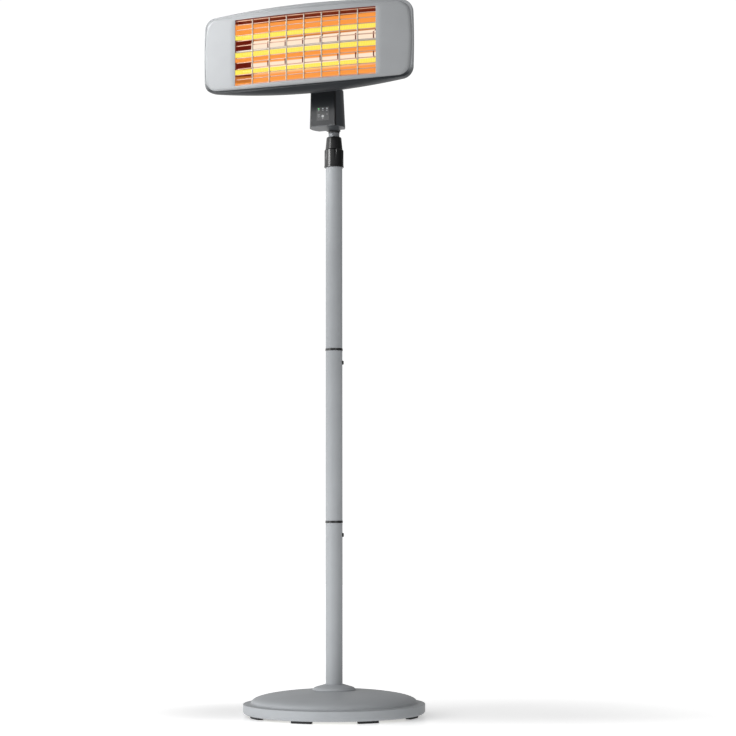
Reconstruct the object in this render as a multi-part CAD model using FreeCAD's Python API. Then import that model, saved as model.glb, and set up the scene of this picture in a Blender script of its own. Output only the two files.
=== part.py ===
import FreeCAD, Part
import math
import os

# Free-standing infrared patio heater: a weighted round base, a pole of three tubes, a telescopic mast with
# a twist lock, a control box, and a tilting head with three quartz tubes behind a wire grille.
# Millimetres. +Z is up, the front of the heater faces -Y, the origin is on the floor under the pole.
# "front" in the code below is the distance in front of the pole's axis, so y = -front.

# Fits shared by all pieces
overrun = 2.0
running_gap = 0.05
slip_gap = 0.3
face_gap = 0.1

# Round base
base_radius = 204.5
foot_height = 5.5
rim_height = 22.5
rim_round = 7.0
rim_edge = 1.5
ledge_width = 12.0
ledge_rise = 1.5
flare_run = 6.0
flare_rise = 3.0
dome_height = 57.5
dome_mid_run_share = 0.266
dome_mid_rise_share = 0.673
cover_wall = 2.0
lip_width = 9.0
plate_wall = 2.0
foot_count = 8
foot_length = 47.0
foot_width = 14.0
foot_inset = 1.5
foot_chamfer = 1.0
weight_inset = 73.0
weight_height = 16.0
boss_inset = 55.0
boss_radius = 6.0
boss_count = 4
cap_radius = 48.5
cap_lip = 2.5
cap_shoulder_share = 0.8
cap_shoulder_rise = 6.0
cap_height = 13.0
cap_crown = 2.5

# Fasteners
tie_bolt_radius = 5.0
tie_head_radius = 11.0
tie_head_height = 3.5
tie_nut_radius = 9.5
tie_nut_height = 8.0
tie_washer_radius = 11.5
tie_washer_height = 2.0
screw_radius = 1.6
screw_head_radius = 3.2
screw_head_height = 2.2
screw_length = 14.0

# Pole tubes, couplers and their snap buttons
pole_radius = 19.0
pole_wall = 1.2
socket_flange_radius = 55.0
socket_flange_height = 4.0
socket_height = 80.0
socket_wall = 3.0
lower_tube_length = 404.0
middle_tube_length = 386.0
upper_tube_length = 434.2
ring_height = 5.0
ring_proud = 0.9
spigot_length = 60.0
spigot_wall = 2.5
button_drop = 27.0
button_radius = 4.7
button_proud = 3.0
button_round = 1.2
button_turn = 18.0
stop_rim = 1.6
stop_height = 1.5
spring_strip = 0.7
spring_width = 6.0
spring_drop = 24.0
spring_span = 15.0

# Twist lock at the top of the pole
collar_overlap = 17.0
collar_wall = 3.1
cone_wall = 4.3
grip_height = 40.0
grip_lip_height = 4.0
grip_lip_proud = 0.5
grip_step = 2.0
cone_height = 28.0
cone_taper = 2.6
cone_chamfer = 1.0
flute_count = 6
flute_radius = 4.2
flute_depth = 1.5
flute_height = 30.0
plug_length = 45.0
clamp_flange = 4.0
collet_height = 20.0
collet_slit = 2.0

# Telescopic mast
mast_radius = 12.5
mast_wall = 1.2
mast_reserve = 5.0
glide_height = 12.0
glide_spigot = 30.0
neck_bare = 14.3

# Control box on top of the mast
box_height = 86.0
box_front = 68.0
box_rear = 13.0
box_half_width = 40.5
box_side_front = 42.0
box_rear_half = 31.0
box_taper = 4.0
box_split = 40.0
box_wall = 2.4
panel_half = 28.3
panel_margin = 0.7
panel_low_rise = 2.6
panel_top_drop = 4.0
panel_wall = 1.6
panel_ledge = 3.0
boss_height = 50.0
neck_wall = 2.4
neck_roof = 3.0
neck_screw_rise = 24.0
neck_screw_radius = 2.5
film_half = 15.0
film_rise = 26.0
film_wall = 0.5
lamp_rise = 37.5
lamp_pitch = 10.2
lamp_radius = 1.2
lamp_count = 3
key_rise = 20.0
key_radius = 2.9
key_proud = 0.5
key_travel = 1.2
key_flange = 1.2
board_gap = 6.8
board_wall = 1.6
board_half = 21.0
board_margin = 8.0
post_radius = 2.2
switch_half = 3.0
switch_height = 3.4
relay_length = 20.0
relay_width = 16.0
relay_depth = 15.0
tip_switch_size = 12.0
terminal_length = 30.0
terminal_width = 14.0
terminal_height = 13.0
box_screw_half = 27.0
box_screw_rise = 9.0
box_boss_radius = 3.4
gland_drop = 18.0
gland_radius = 8.5
gland_bore = 4.0
gland_length = 16.0
gland_thread = 6.0
gland_nut_radius = 7.8
gland_nut_height = 4.0

# Tilt joint between the control box and the head
pivot_front = 47.0
pivot_drop = 40.0
tilt_bolt_radius = 4.0
tilt_head_height = 5.0
tilt_nut_height = 6.5
tilt_hex_radius = 7.5
bracket_half = 18.0
bracket_sheet = 2.5
bracket_eye = 10.0
bracket_foot = 15.0
bracket_back = 24.0
bracket_fore = 17.0
bracket_screw_half = 8.0
bracket_screw_back = 17.0
bracket_boss_radius = 4.0
bracket_boss_depth = 12.0
washer_wall = 1.0
washer_radius = 9.0
lug_eye = 9.0
lug_low = 3.0
lug_high = 37.0
lug_screw_half = 7.0
lug_screw_inset = 8.0
lug_boss_depth = 7.0

# Head: bezel, rear housing and their shared outline
head_rise = 73.5
face_front = 183.0
face_radius = 2000.0
bezel_half_width = 249.3
bezel_half_height = 86.2
bezel_rise = 5.0
bezel_side_rise = 3.0
bezel_corner = 26.0
bezel_wall = 2.6
bezel_edge = 1.6
skirt_depth = 8.0
skirt_wall = 1.8
parting_gap = 0.7
face_side_width = 78.85
opening_half_height = 74.4
opening_drop = 1.5
opening_corner = 3.0
frame_wall = 1.6
frame_depth = 9.0
housing_wall = 2.2
shoulder_front = 155.0
shoulder_side_proud = 1.5
shoulder_top_proud = 14.8
shoulder_rise = 18.0
shoulder_side_rise = 3.0
back_front = 88.0
back_side_inset = 133.0
back_half_height = 46.0
back_rise = 5.0
back_side_rise = 6.0
back_corner = 26.0
back_angle = 14.0
housing_steps = 4
case_screw_inset = 29.0
case_screw_rise = 48.0
case_boss_radius = 5.0
case_seat_front = 158.0
vent_count = 9
vent_pitch = 13.0
vent_width = 3.0
vent_height = 20.0
vent_rise = 29.0

# Head: grille
grille_depth = 4.0
grille_columns = 8
grille_rows = 12
column_wire = 1.45
row_wire = 0.95
wire_bite = 0.5

# Head: reflector, heat shield and quartz tubes
tube_pitch = 40.0
tube_front = 150.0
tube_radius = 5.6
tube_wall = 1.0
tube_overhang = 21.0
coil_radius = 2.6
coil_end_gap = 16.0
cap_tube_radius = 7.5
cap_tube_grip = 14.0
cap_tube_end = 10.0
lead_radius = 1.0
tube_hole_gap = 0.8
reflector_sheet = 0.8
trough_front = 130.0
ridge_front = 143.0
trough_half = 8.0
ridge_half = 7.0
end_lean = 15.0
tube_bracket_front = 160.5
tube_bracket_outset = 11.0
tube_bracket_foot = 22.0
tube_bracket_sheet = 1.5
tube_bracket_margin = 14.0
tube_pad_radius = 5.0
tube_pad_outset = 14.0
shield_front = 112.0
shield_sheet = 1.0
shield_inset = 35.0
shield_half_height = 52.0
shield_post_inset = 30.0
shield_post_radius = 4.0
block_half_length = 20.0
block_half_height = 9.0
block_depth = 14.0

# Directions and turns
V = FreeCAD.Vector
RIGHT = V(1, 0, 0)
REAR = V(0, 1, 0)
UP = V(0, 0, 1)
FULL_TURN = 360.0
HEX_SIDES = 6
HALF_TURN = 180.0
SIDES = (-1, 1)

# Heights worked out from the sizes above, from the floor upwards
rim_top = foot_height + rim_height
plate_top = foot_height + plate_wall
weight_top = plate_top + weight_height
socket_seat = weight_top + socket_flange_height
lower_ring = socket_seat + lower_tube_length
middle_seat = lower_ring + ring_height
upper_ring = middle_seat + middle_tube_length
upper_seat = upper_ring + ring_height
pole_top = upper_seat + upper_tube_length
collar_low = pole_top - collar_overlap
grip_top = collar_low + grip_height
cone_low = grip_top + grip_step
cone_top = cone_low + cone_height
glide_low = upper_seat + spigot_length + mast_reserve
mast_low = glide_low + glide_height
box_low = cone_top + neck_bare
box_top = box_low + box_height
mast_top = box_low + boss_height - neck_roof
head_height = box_top + head_rise
pivot_height = head_height - pivot_drop
opening_height = head_height - opening_drop

# Radii and fronts worked out from the sizes above
lip_radius = base_radius - lip_width
weight_radius = base_radius - weight_inset
boss_circle = base_radius - boss_inset
plate_radius = lip_radius - slip_gap
dome_foot = base_radius - ledge_width
dome_start = dome_foot - flare_run
pole_bore = pole_radius - pole_wall
spigot_radius = pole_bore - slip_gap
spigot_bore = spigot_radius - spigot_wall
grip_radius = pole_radius + slip_gap + collar_wall
cone_top_radius = mast_radius + slip_gap + cone_wall
cone_low_radius = cone_top_radius + cone_taper
clamp_neck_radius = cone_low_radius - cone_wall - slip_gap
mast_bore = mast_radius - mast_wall
neck_radius = mast_radius + neck_wall
panel_low = box_low + panel_low_rise
panel_top = box_top - panel_top_drop
panel_back = box_front - panel_wall
board_front = panel_back - board_gap
board_back = board_front - board_wall
lug_half = bracket_half - bracket_sheet - washer_wall - 2 * face_gap
drum_front = face_front - face_radius
opening_half_width = bezel_half_width - face_side_width
shoulder_half_width = bezel_half_width + shoulder_side_proud
shoulder_half_height = bezel_half_height + shoulder_top_proud
back_half_width = bezel_half_width - back_side_inset
case_screw_half = bezel_half_width - case_screw_inset
tube_half_length = opening_half_width + tube_overhang
coil_half_length = tube_half_length - coil_end_gap
tube_bracket_half_width = opening_half_width + tube_bracket_outset
tube_pad_half = tube_bracket_half_width + tube_pad_outset
shield_half_width = opening_half_width - shield_inset
shield_post_half = shield_half_width - shield_post_inset
frame_end_radius = face_radius - bezel_wall - frame_depth
wire_drum = face_radius - grille_depth
screw_hole = screw_radius + running_gap
head_hole = screw_head_radius + slip_gap
tube_heights = [head_height + tube_pitch * step for step in (1, 0, -1)]


def at(x, front, z):
    """Point at a distance in front of the pole's axis."""
    return V(x, -front, z)


def save(name, shape):
    """Write one piece as a STEP file."""
    shape.removeSplitter().exportStep("parts/" + name + ".step")


def rod(start, direction, length, radius):
    """Solid round bar."""
    return Part.makeCylinder(radius, length, start, direction)


def sleeve(outer, inner, low, high):
    """Upright tube on the pole's axis."""
    solid = rod(V(0, 0, low), UP, high - low, outer)
    bore = rod(V(0, 0, low - overrun), UP, high - low + 2 * overrun, inner)
    return solid.cut(bore)


def turned(outline):
    """Solid of revolution about the pole's axis from (radius, height) corners."""
    corners = [V(radius, 0, height) for radius, height in outline]
    wire = Part.makePolygon(corners + corners[:1])
    return Part.Face(wire).revolve(V(0, 0, 0), UP, FULL_TURN)


def slab(x_low, x_high, front_low, front_high, z_low, z_high):
    """Rectangular block."""
    corner = at(x_low, front_high, z_low)
    return Part.makeBox(x_high - x_low, front_high - front_low, z_high - z_low, corner)


def plate(corners, thickness):
    """Flat plate between corners in one plane, thickened by a vector."""
    return Part.Face(Part.makePolygon(corners + corners[:1])).extrude(thickness)


def hexagon(centre, direction, length, radius):
    """Hexagonal bar, as on bolt heads and nuts; radius is to the corners."""
    turn = FreeCAD.Rotation(UP, direction)
    angles = [math.radians(FULL_TURN * step / HEX_SIDES) for step in range(HEX_SIDES)]
    corners = [centre + turn.multVec(V(radius * math.cos(a), radius * math.sin(a), 0)) for a in angles]
    return plate(corners, direction * length)


def edge_line(start, end):
    """Straight edge."""
    return Part.LineSegment(start, end).toShape()


def edge_arc(start, middle, end):
    """Round edge through three points."""
    return Part.Arc(start, middle, end).toShape()


def around(shape, count, start_angle=0.0):
    """Copies of a shape spaced evenly about the pole's axis."""
    copies = []
    for step in range(count):
        copy = shape.copy()
        copy.rotate(V(0, 0, 0), UP, start_angle + step * FULL_TURN / count)
        copies.append(copy)
    return copies


def screw(seat, direction, length=screw_length):
    """Pan head screw: the seat is under the head, the direction is the way it is driven."""
    head = rod(seat - direction * screw_head_height, direction, screw_head_height, screw_head_radius)
    shank = rod(seat, direction, length, screw_radius)
    return head.fuse(shank).removeSplitter()


# Base


def cover_body(inset):
    """Solid under the base cover's skin, drawn in by an inset: rounded rim, ledge, flare and dome."""
    low = foot_height + inset
    side = base_radius - inset
    turn = rim_round - inset
    rim = rim_top - inset
    corner = turn * (1 - math.sqrt(0.5))
    foot = V(dome_foot - inset, 0, rim + ledge_rise)
    start = V(dome_start - inset, 0, foot.z + flare_rise)
    top = V(cap_radius, 0, dome_height - inset)
    middle_x = start.x + (top.x - start.x) * dome_mid_run_share
    middle_z = start.z + (top.z - start.z) * dome_mid_rise_share
    edge_low = V(side, 0, rim - rim_edge)
    edge_in = V(side - rim_edge, 0, rim)
    edge_mid = V(side - rim_edge * (1 - math.sqrt(0.5)), 0, rim - rim_edge * (1 - math.sqrt(0.5)))
    edges = [
        edge_line(V(0, 0, low), V(side - turn, 0, low)),
        edge_arc(V(side - turn, 0, low), V(side - corner, 0, low + corner), V(side, 0, low + turn)),
        edge_line(V(side, 0, low + turn), edge_low),
        edge_arc(edge_low, edge_mid, edge_in),
        edge_line(edge_in, foot),
        edge_line(foot, start),
        edge_arc(start, V(middle_x, 0, middle_z), top),
        edge_line(top, V(0, 0, top.z)),
        edge_line(V(0, 0, top.z), V(0, 0, low)),
    ]
    return Part.Face(Part.Wire(edges)).revolve(V(0, 0, 0), UP, FULL_TURN)


def base_cover():
    """Pressed cover of the base with screw bosses hanging from its dome."""
    skin = cover_body(0)
    shell = skin.cut(cover_body(cover_wall))
    shell = shell.cut(rod(V(0, 0, 0), UP, rim_top, lip_radius))
    shell = shell.cut(rod(V(0, 0, rim_top), UP, dome_height, pole_radius + slip_gap))
    post = rod(V(boss_circle, 0, plate_top), UP, dome_height, boss_radius).common(skin)
    pilot = rod(V(boss_circle, 0, plate_top), UP, screw_length, screw_hole)
    bosses = around(post.cut(pilot), boss_count, HALF_TURN / boss_count)
    return shell.multiFuse(bosses)


def base_plate():
    """Bottom plate that closes the base."""
    disc = rod(V(0, 0, foot_height), UP, plate_wall, plate_radius)
    middle = rod(V(0, 0, 0), UP, plate_top + overrun, tie_bolt_radius + slip_gap)
    hole = rod(V(boss_circle, 0, 0), UP, plate_top + overrun, screw_hole)
    return disc.cut(middle).cut(Part.makeCompound(around(hole, boss_count, HALF_TURN / boss_count)))


def base_screws():
    """Screws that hold the bottom plate to the cover's bosses."""
    one = screw(V(boss_circle, 0, foot_height), UP)
    return Part.makeCompound(around(one, boss_count, HALF_TURN / boss_count))


def base_feet():
    """Curved rubber pads under the bottom plate, one of them straight in front."""
    outer = plate_radius - foot_inset
    inner = outer - foot_width
    angle = math.degrees(foot_length / outer)
    outline = [
        V(inner, 0, foot_height),
        V(inner, 0, foot_chamfer),
        V(inner + foot_chamfer, 0, 0),
        V(outer - foot_chamfer, 0, 0),
        V(outer, 0, foot_chamfer),
        V(outer, 0, foot_height),
    ]
    pad = Part.Face(Part.makePolygon(outline + outline[:1])).revolve(V(0, 0, 0), UP, angle)
    return Part.makeCompound(around(pad, foot_count, -FULL_TURN / 4 - angle / 2))


def base_weight():
    """Cast disc that keeps the heater upright."""
    return sleeve(weight_radius, tie_bolt_radius + slip_gap, plate_top, weight_top)


def pole_socket():
    """Flanged socket on the weight: the pole stands over its upright tube."""
    flange = sleeve(socket_flange_radius, tie_bolt_radius + slip_gap, weight_top, socket_seat)
    upright = sleeve(spigot_radius, spigot_radius - socket_wall, socket_seat, socket_seat + socket_height)
    return flange.fuse(upright)


def tie_bolt():
    """Bolt that ties plate, weight and socket together."""
    head = rod(V(0, 0, foot_height - tie_head_height), UP, tie_head_height, tie_head_radius)
    reach = socket_seat + tie_washer_height + tie_nut_height + tie_bolt_radius - foot_height
    return head.fuse(rod(V(0, 0, foot_height), UP, reach, tie_bolt_radius))


def tie_nut():
    """Flanged nut of the tie bolt, inside the socket."""
    flange = rod(V(0, 0, socket_seat), UP, tie_washer_height, tie_washer_radius)
    nut = hexagon(V(0, 0, socket_seat), UP, tie_washer_height + tie_nut_height, tie_nut_radius)
    length = tie_washer_height + tie_nut_height + 2 * overrun
    bore = rod(V(0, 0, socket_seat - overrun), UP, length, tie_bolt_radius + running_gap)
    return flange.fuse(nut).cut(bore)


def pole_cap():
    """Stepped trim ring where the pole enters the base."""
    bore = pole_radius + slip_gap
    shoulder = bore + (cap_radius - bore) * cap_shoulder_share
    outline = [
        (bore, dome_height),
        (cap_radius, dome_height),
        (cap_radius, dome_height + cap_lip),
        (shoulder, dome_height + cap_shoulder_rise),
        (bore + cap_crown, dome_height + cap_height),
        (bore, dome_height + cap_height),
    ]
    return turned(outline)


# Pole


def button_direction():
    """Way that a snap button points, level and turned back from the right-hand side."""
    angle = math.radians(button_turn)
    return V(math.cos(angle), math.sin(angle), 0)


def pole_tube(low, length, button_height=None):
    """Painted pole tube, with a hole for its snap button where it has one."""
    tube = sleeve(pole_radius, pole_bore, low, low + length)
    if button_height is None:
        return tube
    hole = rod(V(0, 0, button_height), button_direction(), pole_radius + overrun, button_radius + slip_gap)
    return tube.cut(hole)


def coupler(ring_low):
    """Plastic plug that joins two pole tubes: its ring shows between them, its lower end guides a button."""
    ring = sleeve(pole_radius + ring_proud, spigot_bore, ring_low, ring_low + ring_height)
    spigot_top = ring_low + ring_height + spigot_length
    spigot = sleeve(spigot_radius, spigot_bore, ring_low - spigot_length, spigot_top)
    guide = rod(V(0, 0, ring_low - button_drop), button_direction(), pole_radius, button_radius + running_gap)
    return ring.fuse(spigot).cut(guide)


def stop_reach():
    """Distance from the axis to the snap button's stop, just inside the coupler's round wall."""
    clear = spigot_bore - slip_gap
    return math.sqrt(clear ** 2 - (button_radius + stop_rim) ** 2)


def snap_button(ring_low):
    """Spring-loaded button that locks a pole tube to its coupler."""
    height = ring_low - button_drop
    way = button_direction()
    reach = stop_reach()
    tip = pole_radius + button_proud
    stop = rod(V(0, 0, height) + way * (reach - stop_height), way, stop_height, button_radius + stop_rim)
    stem = rod(V(0, 0, height) + way * reach, way, tip - button_round - reach, button_radius)
    crown_base = V(0, 0, height) + way * (tip - button_round)
    crown = Part.makeCone(button_radius, button_radius - button_round, button_round, crown_base, way)
    return stop.multiFuse([stem, crown])


def button_spring(ring_low):
    """Folded strip spring on the back of a snap button, in line with it."""
    height = ring_low - button_drop
    back = stop_reach() - stop_height
    fore = back - spring_strip
    heel = back - spring_span
    low = height - spring_drop
    outline = [
        (back, height + button_radius),
        (back, low),
        (heel, low),
        (heel, height + button_radius),
        (heel + spring_strip, height + button_radius),
        (heel + spring_strip, low + spring_strip),
        (fore, low + spring_strip),
        (fore, height + button_radius),
    ]
    corners = [V(reach, -spring_width / 2, z) for reach, z in outline]
    strip = plate(corners, V(0, spring_width, 0))
    strip.rotate(V(0, 0, 0), UP, button_turn)
    return strip


# Twist lock


def clamp_base():
    """Plug in the top of the pole with the threaded neck that the collar runs on."""
    bore = mast_radius + slip_gap
    plug = sleeve(spigot_radius, bore, pole_top - plug_length, pole_top)
    flange = sleeve(pole_radius, bore, pole_top, pole_top + clamp_flange)
    neck = sleeve(clamp_neck_radius, bore, pole_top + clamp_flange, grip_top)
    return plug.multiFuse([flange, neck])


def clamp_collet():
    """Split tapered ring that grips the mast."""
    bore = mast_radius + running_gap
    drop = cone_taper * (collet_height - grip_step) / cone_height
    outline = [
        (bore, grip_top),
        (clamp_neck_radius, grip_top),
        (clamp_neck_radius, cone_low),
        (clamp_neck_radius - drop, grip_top + collet_height),
        (bore, grip_top + collet_height),
    ]
    slit = slab(-collet_slit / 2, collet_slit / 2, -grip_radius, 0, grip_top - overrun, cone_top)
    return turned(outline).cut(slit)


def clamp_collar():
    """Collar that is twisted to lock the mast: fluted grip below, cone above."""
    outer = [
        (0, collar_low),
        (grip_radius - grip_lip_proud, collar_low),
        (grip_radius, collar_low + grip_lip_proud),
        (grip_radius, collar_low + grip_lip_height),
        (grip_radius - grip_lip_proud, collar_low + grip_lip_height + grip_lip_proud),
        (grip_radius - grip_lip_proud, grip_top - grip_lip_proud),
        (cone_low_radius, cone_low),
        (cone_top_radius, cone_top - cone_chamfer),
        (cone_top_radius - cone_chamfer, cone_top),
        (0, cone_top),
    ]
    skirt_top = pole_top + clamp_flange + slip_gap
    inner_low = clamp_neck_radius + slip_gap
    inner_top = mast_radius + slip_gap
    inner = [
        (0, collar_low - overrun),
        (pole_radius + slip_gap, collar_low - overrun),
        (pole_radius + slip_gap, skirt_top),
        (inner_low, skirt_top),
        (inner_low, cone_low),
        (inner_top, cone_top),
        (inner_top, cone_top + overrun),
        (0, cone_top + overrun),
    ]
    collar = turned(outer).cut(turned(inner))
    axis = grip_radius - grip_lip_proud + flute_radius - flute_depth
    start = V(0, -axis, grip_top - flute_height)
    scoop = Part.makeCone(flute_radius - flute_depth, flute_radius, flute_height, start, UP)
    return collar.cut(Part.makeCompound(around(scoop, flute_count, HALF_TURN / flute_count)))


# Mast


def glide_plug():
    """Sliding foot of the mast inside the pole: the mast turns on its spigot."""
    foot = rod(V(0, 0, glide_low), UP, glide_height - face_gap, pole_bore - slip_gap)
    spigot = rod(V(0, 0, mast_low - face_gap), UP, glide_spigot, mast_bore - running_gap)
    bore = rod(V(0, 0, glide_low - overrun), UP, glide_height + glide_spigot + 2 * overrun, mast_bore / 2)
    return foot.fuse(spigot).cut(bore)


def neck_screw_seat():
    """Place of the screw that fixes the mast in the box's neck, on the neck's back."""
    return at(0, -neck_radius, box_low + neck_screw_rise)


def mast_tube():
    """Inner tube of the telescope."""
    tube = sleeve(mast_radius, mast_bore, mast_low, mast_top)
    hole = rod(neck_screw_seat(), -REAR, neck_radius, neck_screw_radius + running_gap)
    return tube.cut(hole)


# Control box


def box_outline(height, inset):
    """Plan outline of the control box: flat front and back with round sides, narrower towards the top."""
    taper = box_taper * (height - box_low) / box_height
    fore = panel_half + panel_margin - inset
    side = box_half_width - taper - inset
    aft = box_rear_half - taper - inset
    front = box_front - inset
    rear = box_rear + inset
    edges = [
        edge_line(at(-fore, front, height), at(fore, front, height)),
        edge_arc(at(fore, front, height), at(side, box_side_front, height), at(aft, rear, height)),
        edge_line(at(aft, rear, height), at(-aft, rear, height)),
        edge_arc(at(-aft, rear, height), at(-side, box_side_front, height), at(-fore, front, height)),
    ]
    return Part.Wire(edges)


def box_body(inset):
    """Control box as a solid, drawn in by an inset."""
    wires = [box_outline(box_low + inset, inset), box_outline(box_top - inset, inset)]
    return Part.makeLoft(wires, True, True)


def front_half():
    """Block that holds all in front of the joint between the two box shells."""
    return slab(-box_front, box_front, box_split, box_front + overrun, box_low - overrun, box_top + overrun)


def box_screw_places():
    """Places of the screws that join the two shells, as (x, z)."""
    heights = (box_low + box_screw_rise, box_top - box_screw_rise)
    return [(side * box_screw_half, height) for side in SIDES for height in heights]


def box_front_shell():
    """Front shell with the pocket for the control panel."""
    pocket_back = panel_back - panel_wall
    hollow = box_body(box_wall).common(slab(-box_front, box_front, 0, pocket_back, box_low, box_top))
    skin = box_body(0)
    shell = skin.cut(hollow).common(front_half())
    half = panel_half + slip_gap
    pocket = slab(-half, half, panel_back, box_front + overrun, panel_low - slip_gap, panel_top + slip_gap)
    ledge = panel_half - panel_ledge
    window = slab(-ledge, ledge, box_split, box_front, panel_low + panel_ledge, panel_top - panel_ledge)
    shell = shell.cut(pocket).cut(window)
    posts = []
    for x, z in box_screw_places():
        post = rod(at(x, box_split, z), -REAR, panel_back - box_split, box_boss_radius).common(skin)
        posts.append(post.cut(rod(at(x, box_split, z), -REAR, screw_length, screw_hole)))
    return shell.multiFuse(posts).cut(pocket)


def box_screw_seat():
    """Front of the seat that the box screws' heads rest on."""
    return box_split - screw_length / 2


def box_rear_shell():
    """Rear shell with the neck that takes the mast, the inlet hole and the screw bosses."""
    skin = box_body(0)
    shell = skin.cut(box_body(box_wall)).cut(front_half())
    neck = rod(V(0, 0, box_low), UP, boss_height, neck_radius)
    web = slab(-neck_radius, neck_radius, 0, box_rear + box_wall, box_low, box_low + boss_height)
    shell = shell.multiFuse([neck, web])
    depth = mast_top - box_low + overrun
    shell = shell.cut(rod(V(0, 0, box_low - overrun), UP, depth, mast_radius + running_gap))
    drill_start = neck_screw_seat() + REAR * overrun
    shell = shell.cut(rod(drill_start, -REAR, neck_radius, neck_screw_radius + running_gap))
    inlet = at(0, 0, box_top - gland_drop)
    shell = shell.cut(rod(inlet, -REAR, box_rear + 2 * box_wall, gland_thread + slip_gap))
    posts = []
    drills = []
    for x, z in box_screw_places():
        post = rod(at(x, 0, z), -REAR, box_split, box_boss_radius + box_wall).common(skin)
        posts.append(post)
        drills.append(rod(at(x, 0, z), -REAR, box_screw_seat(), head_hole))
        drills.append(rod(at(x, 0, z), -REAR, box_split + overrun, screw_hole))
    for x in bracket_screw_places():
        seat = at(x, pivot_front - bracket_screw_back, box_top - bracket_boss_depth)
        posts.append(rod(seat, UP, bracket_boss_depth, bracket_boss_radius))
        drills.append(rod(seat + UP * box_wall, UP, bracket_boss_depth, screw_hole))
    return shell.multiFuse(posts).cut(Part.makeCompound(drills))


def box_screws():
    """Screws that join the two shells of the control box."""
    seat = box_screw_seat()
    return Part.makeCompound([screw(at(x, seat, z), -REAR) for x, z in box_screw_places()])


def neck_screw():
    """Screw through the neck's back into the mast."""
    seat = neck_screw_seat()
    head = rod(seat + REAR * neck_screw_radius, -REAR, neck_screw_radius + face_gap, 2 * neck_screw_radius)
    flat = head.cut(rod(V(0, 0, box_low), UP, boss_height, neck_radius + face_gap))
    shank_length = neck_wall + mast_wall + neck_screw_radius
    start = seat + REAR * neck_screw_radius
    return flat.fuse(rod(start, -REAR, shank_length + neck_screw_radius, neck_screw_radius))


def lamp_places():
    """Sideways places of the indicator lamps."""
    return [lamp_pitch * (step - (lamp_count - 1) / 2) for step in range(lamp_count)]


def board_low():
    """Lower edge of the control board."""
    return panel_low + board_margin


def board_high():
    """Upper edge of the control board."""
    return panel_top - board_margin


def control_panel():
    """Flat panel in the front shell, with posts for the board and holes for lamps, film and key."""
    sheet = slab(-panel_half, panel_half, panel_back, box_front, panel_low, panel_top)
    inset = board_half - post_radius
    posts = []
    for x in (-inset, inset):
        for z in (board_low() + post_radius, board_high() - post_radius):
            posts.append(rod(at(x, panel_back, z), REAR, board_gap, post_radius))
    panel = sheet.multiFuse(posts)
    half = film_half + face_gap
    middle = panel_low + film_rise
    recess = slab(-half, half, box_front - film_wall, box_front + overrun, middle - half, middle + half)
    panel = panel.cut(recess)
    return panel.cut(panel_holes(panel_back - overrun))


def panel_holes(start):
    """Round holes for the lamps and the key, from a front forwards."""
    length = box_front + overrun - start
    lamp_height = panel_low + lamp_rise
    holes = [rod(at(x, start, lamp_height), -REAR, length, lamp_radius + slip_gap) for x in lamp_places()]
    holes.append(rod(at(0, start, panel_low + key_rise), -REAR, length, key_radius + running_gap))
    return Part.makeCompound(holes)


def key_film():
    """Printed film in the panel's recess."""
    middle = panel_low + film_rise
    back = box_front - film_wall
    film = slab(-film_half, film_half, back, box_front, middle - film_half, middle + film_half)
    return film.cut(panel_holes(back - overrun))


def power_key():
    """Push key that travels into the panel."""
    height = panel_low + key_rise
    back = panel_back - face_gap
    cap = rod(at(0, back, height), -REAR, box_front + key_proud - back, key_radius)
    flange = rod(at(0, back - key_flange, height), -REAR, key_flange, key_radius + key_flange)
    return cap.fuse(flange)


def key_switch():
    """Small switch on the board behind the key, with its plunger."""
    height = panel_low + key_rise
    body = slab(-switch_half, switch_half, board_front, board_front + switch_height, height - switch_half,
                height + switch_half)
    reach = panel_back - face_gap - key_flange - key_travel - slip_gap - board_front
    return body.fuse(rod(at(0, board_front, height), -REAR, reach, key_radius / 2))


def indicator_lamps():
    """Lamps that stand on the board and end flush with the panel."""
    length = box_front - board_front
    height = panel_low + lamp_rise
    lamps = [rod(at(x, board_front, height), -REAR, length, lamp_radius) for x in lamp_places()]
    return Part.makeCompound(lamps)


def control_board():
    """Circuit board on the panel's posts."""
    return slab(-board_half, board_half, board_back, board_front, board_low(), board_high())


def heat_relays():
    """Two relays on the back of the board that switch the tubes."""
    relays = []
    for side in SIDES:
        middle = side * (board_half - relay_width / 2)
        low_x = middle - relay_width / 2
        low_z = board_high() - relay_length
        relays.append(slab(low_x, low_x + relay_width, board_back - relay_depth, board_back, low_z, board_high()))
    return Part.makeCompound(relays)


def tip_switch():
    """Switch on the back of the board that cuts the power when the heater falls over."""
    half = tip_switch_size / 2
    low = board_low()
    return slab(-half, half, board_back - tip_switch_size, board_back, low, low + tip_switch_size)


def terminal_block():
    """Mains terminals on the floor of the rear shell."""
    rear = box_rear + 2 * box_wall
    low = box_low + box_wall
    half = terminal_length / 2
    body = slab(-half, half, rear, rear + terminal_width, low, low + terminal_height)
    entries = []
    for step in SIDES:
        x = step * terminal_length / 4
        mouth = at(x, rear - overrun, low + terminal_height / 2)
        entries.append(rod(mouth, -REAR, terminal_width / 2, gland_bore / 2))
    return body.cut(Part.makeCompound(entries))


def cable_gland():
    """Bush in the box's back that the mains lead passes through."""
    height = box_top - gland_drop
    outside = box_rear - gland_length
    flange = rod(at(0, outside, height), -REAR, gland_length, gland_radius)
    nose_start = at(0, outside, height)
    nose = Part.makeCone(gland_radius - box_wall, gland_radius, gland_length / 2, nose_start, -REAR)
    body = flange.cut(rod(at(0, outside, height), -REAR, gland_length / 2, gland_radius)).fuse(nose)
    thread = rod(at(0, box_rear, height), -REAR, box_wall + gland_nut_height, gland_thread)
    through = gland_length + 2 * gland_thread + 2 * overrun
    bore = rod(at(0, outside - overrun, height), -REAR, through, gland_bore)
    return body.fuse(thread).cut(bore)


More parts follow.
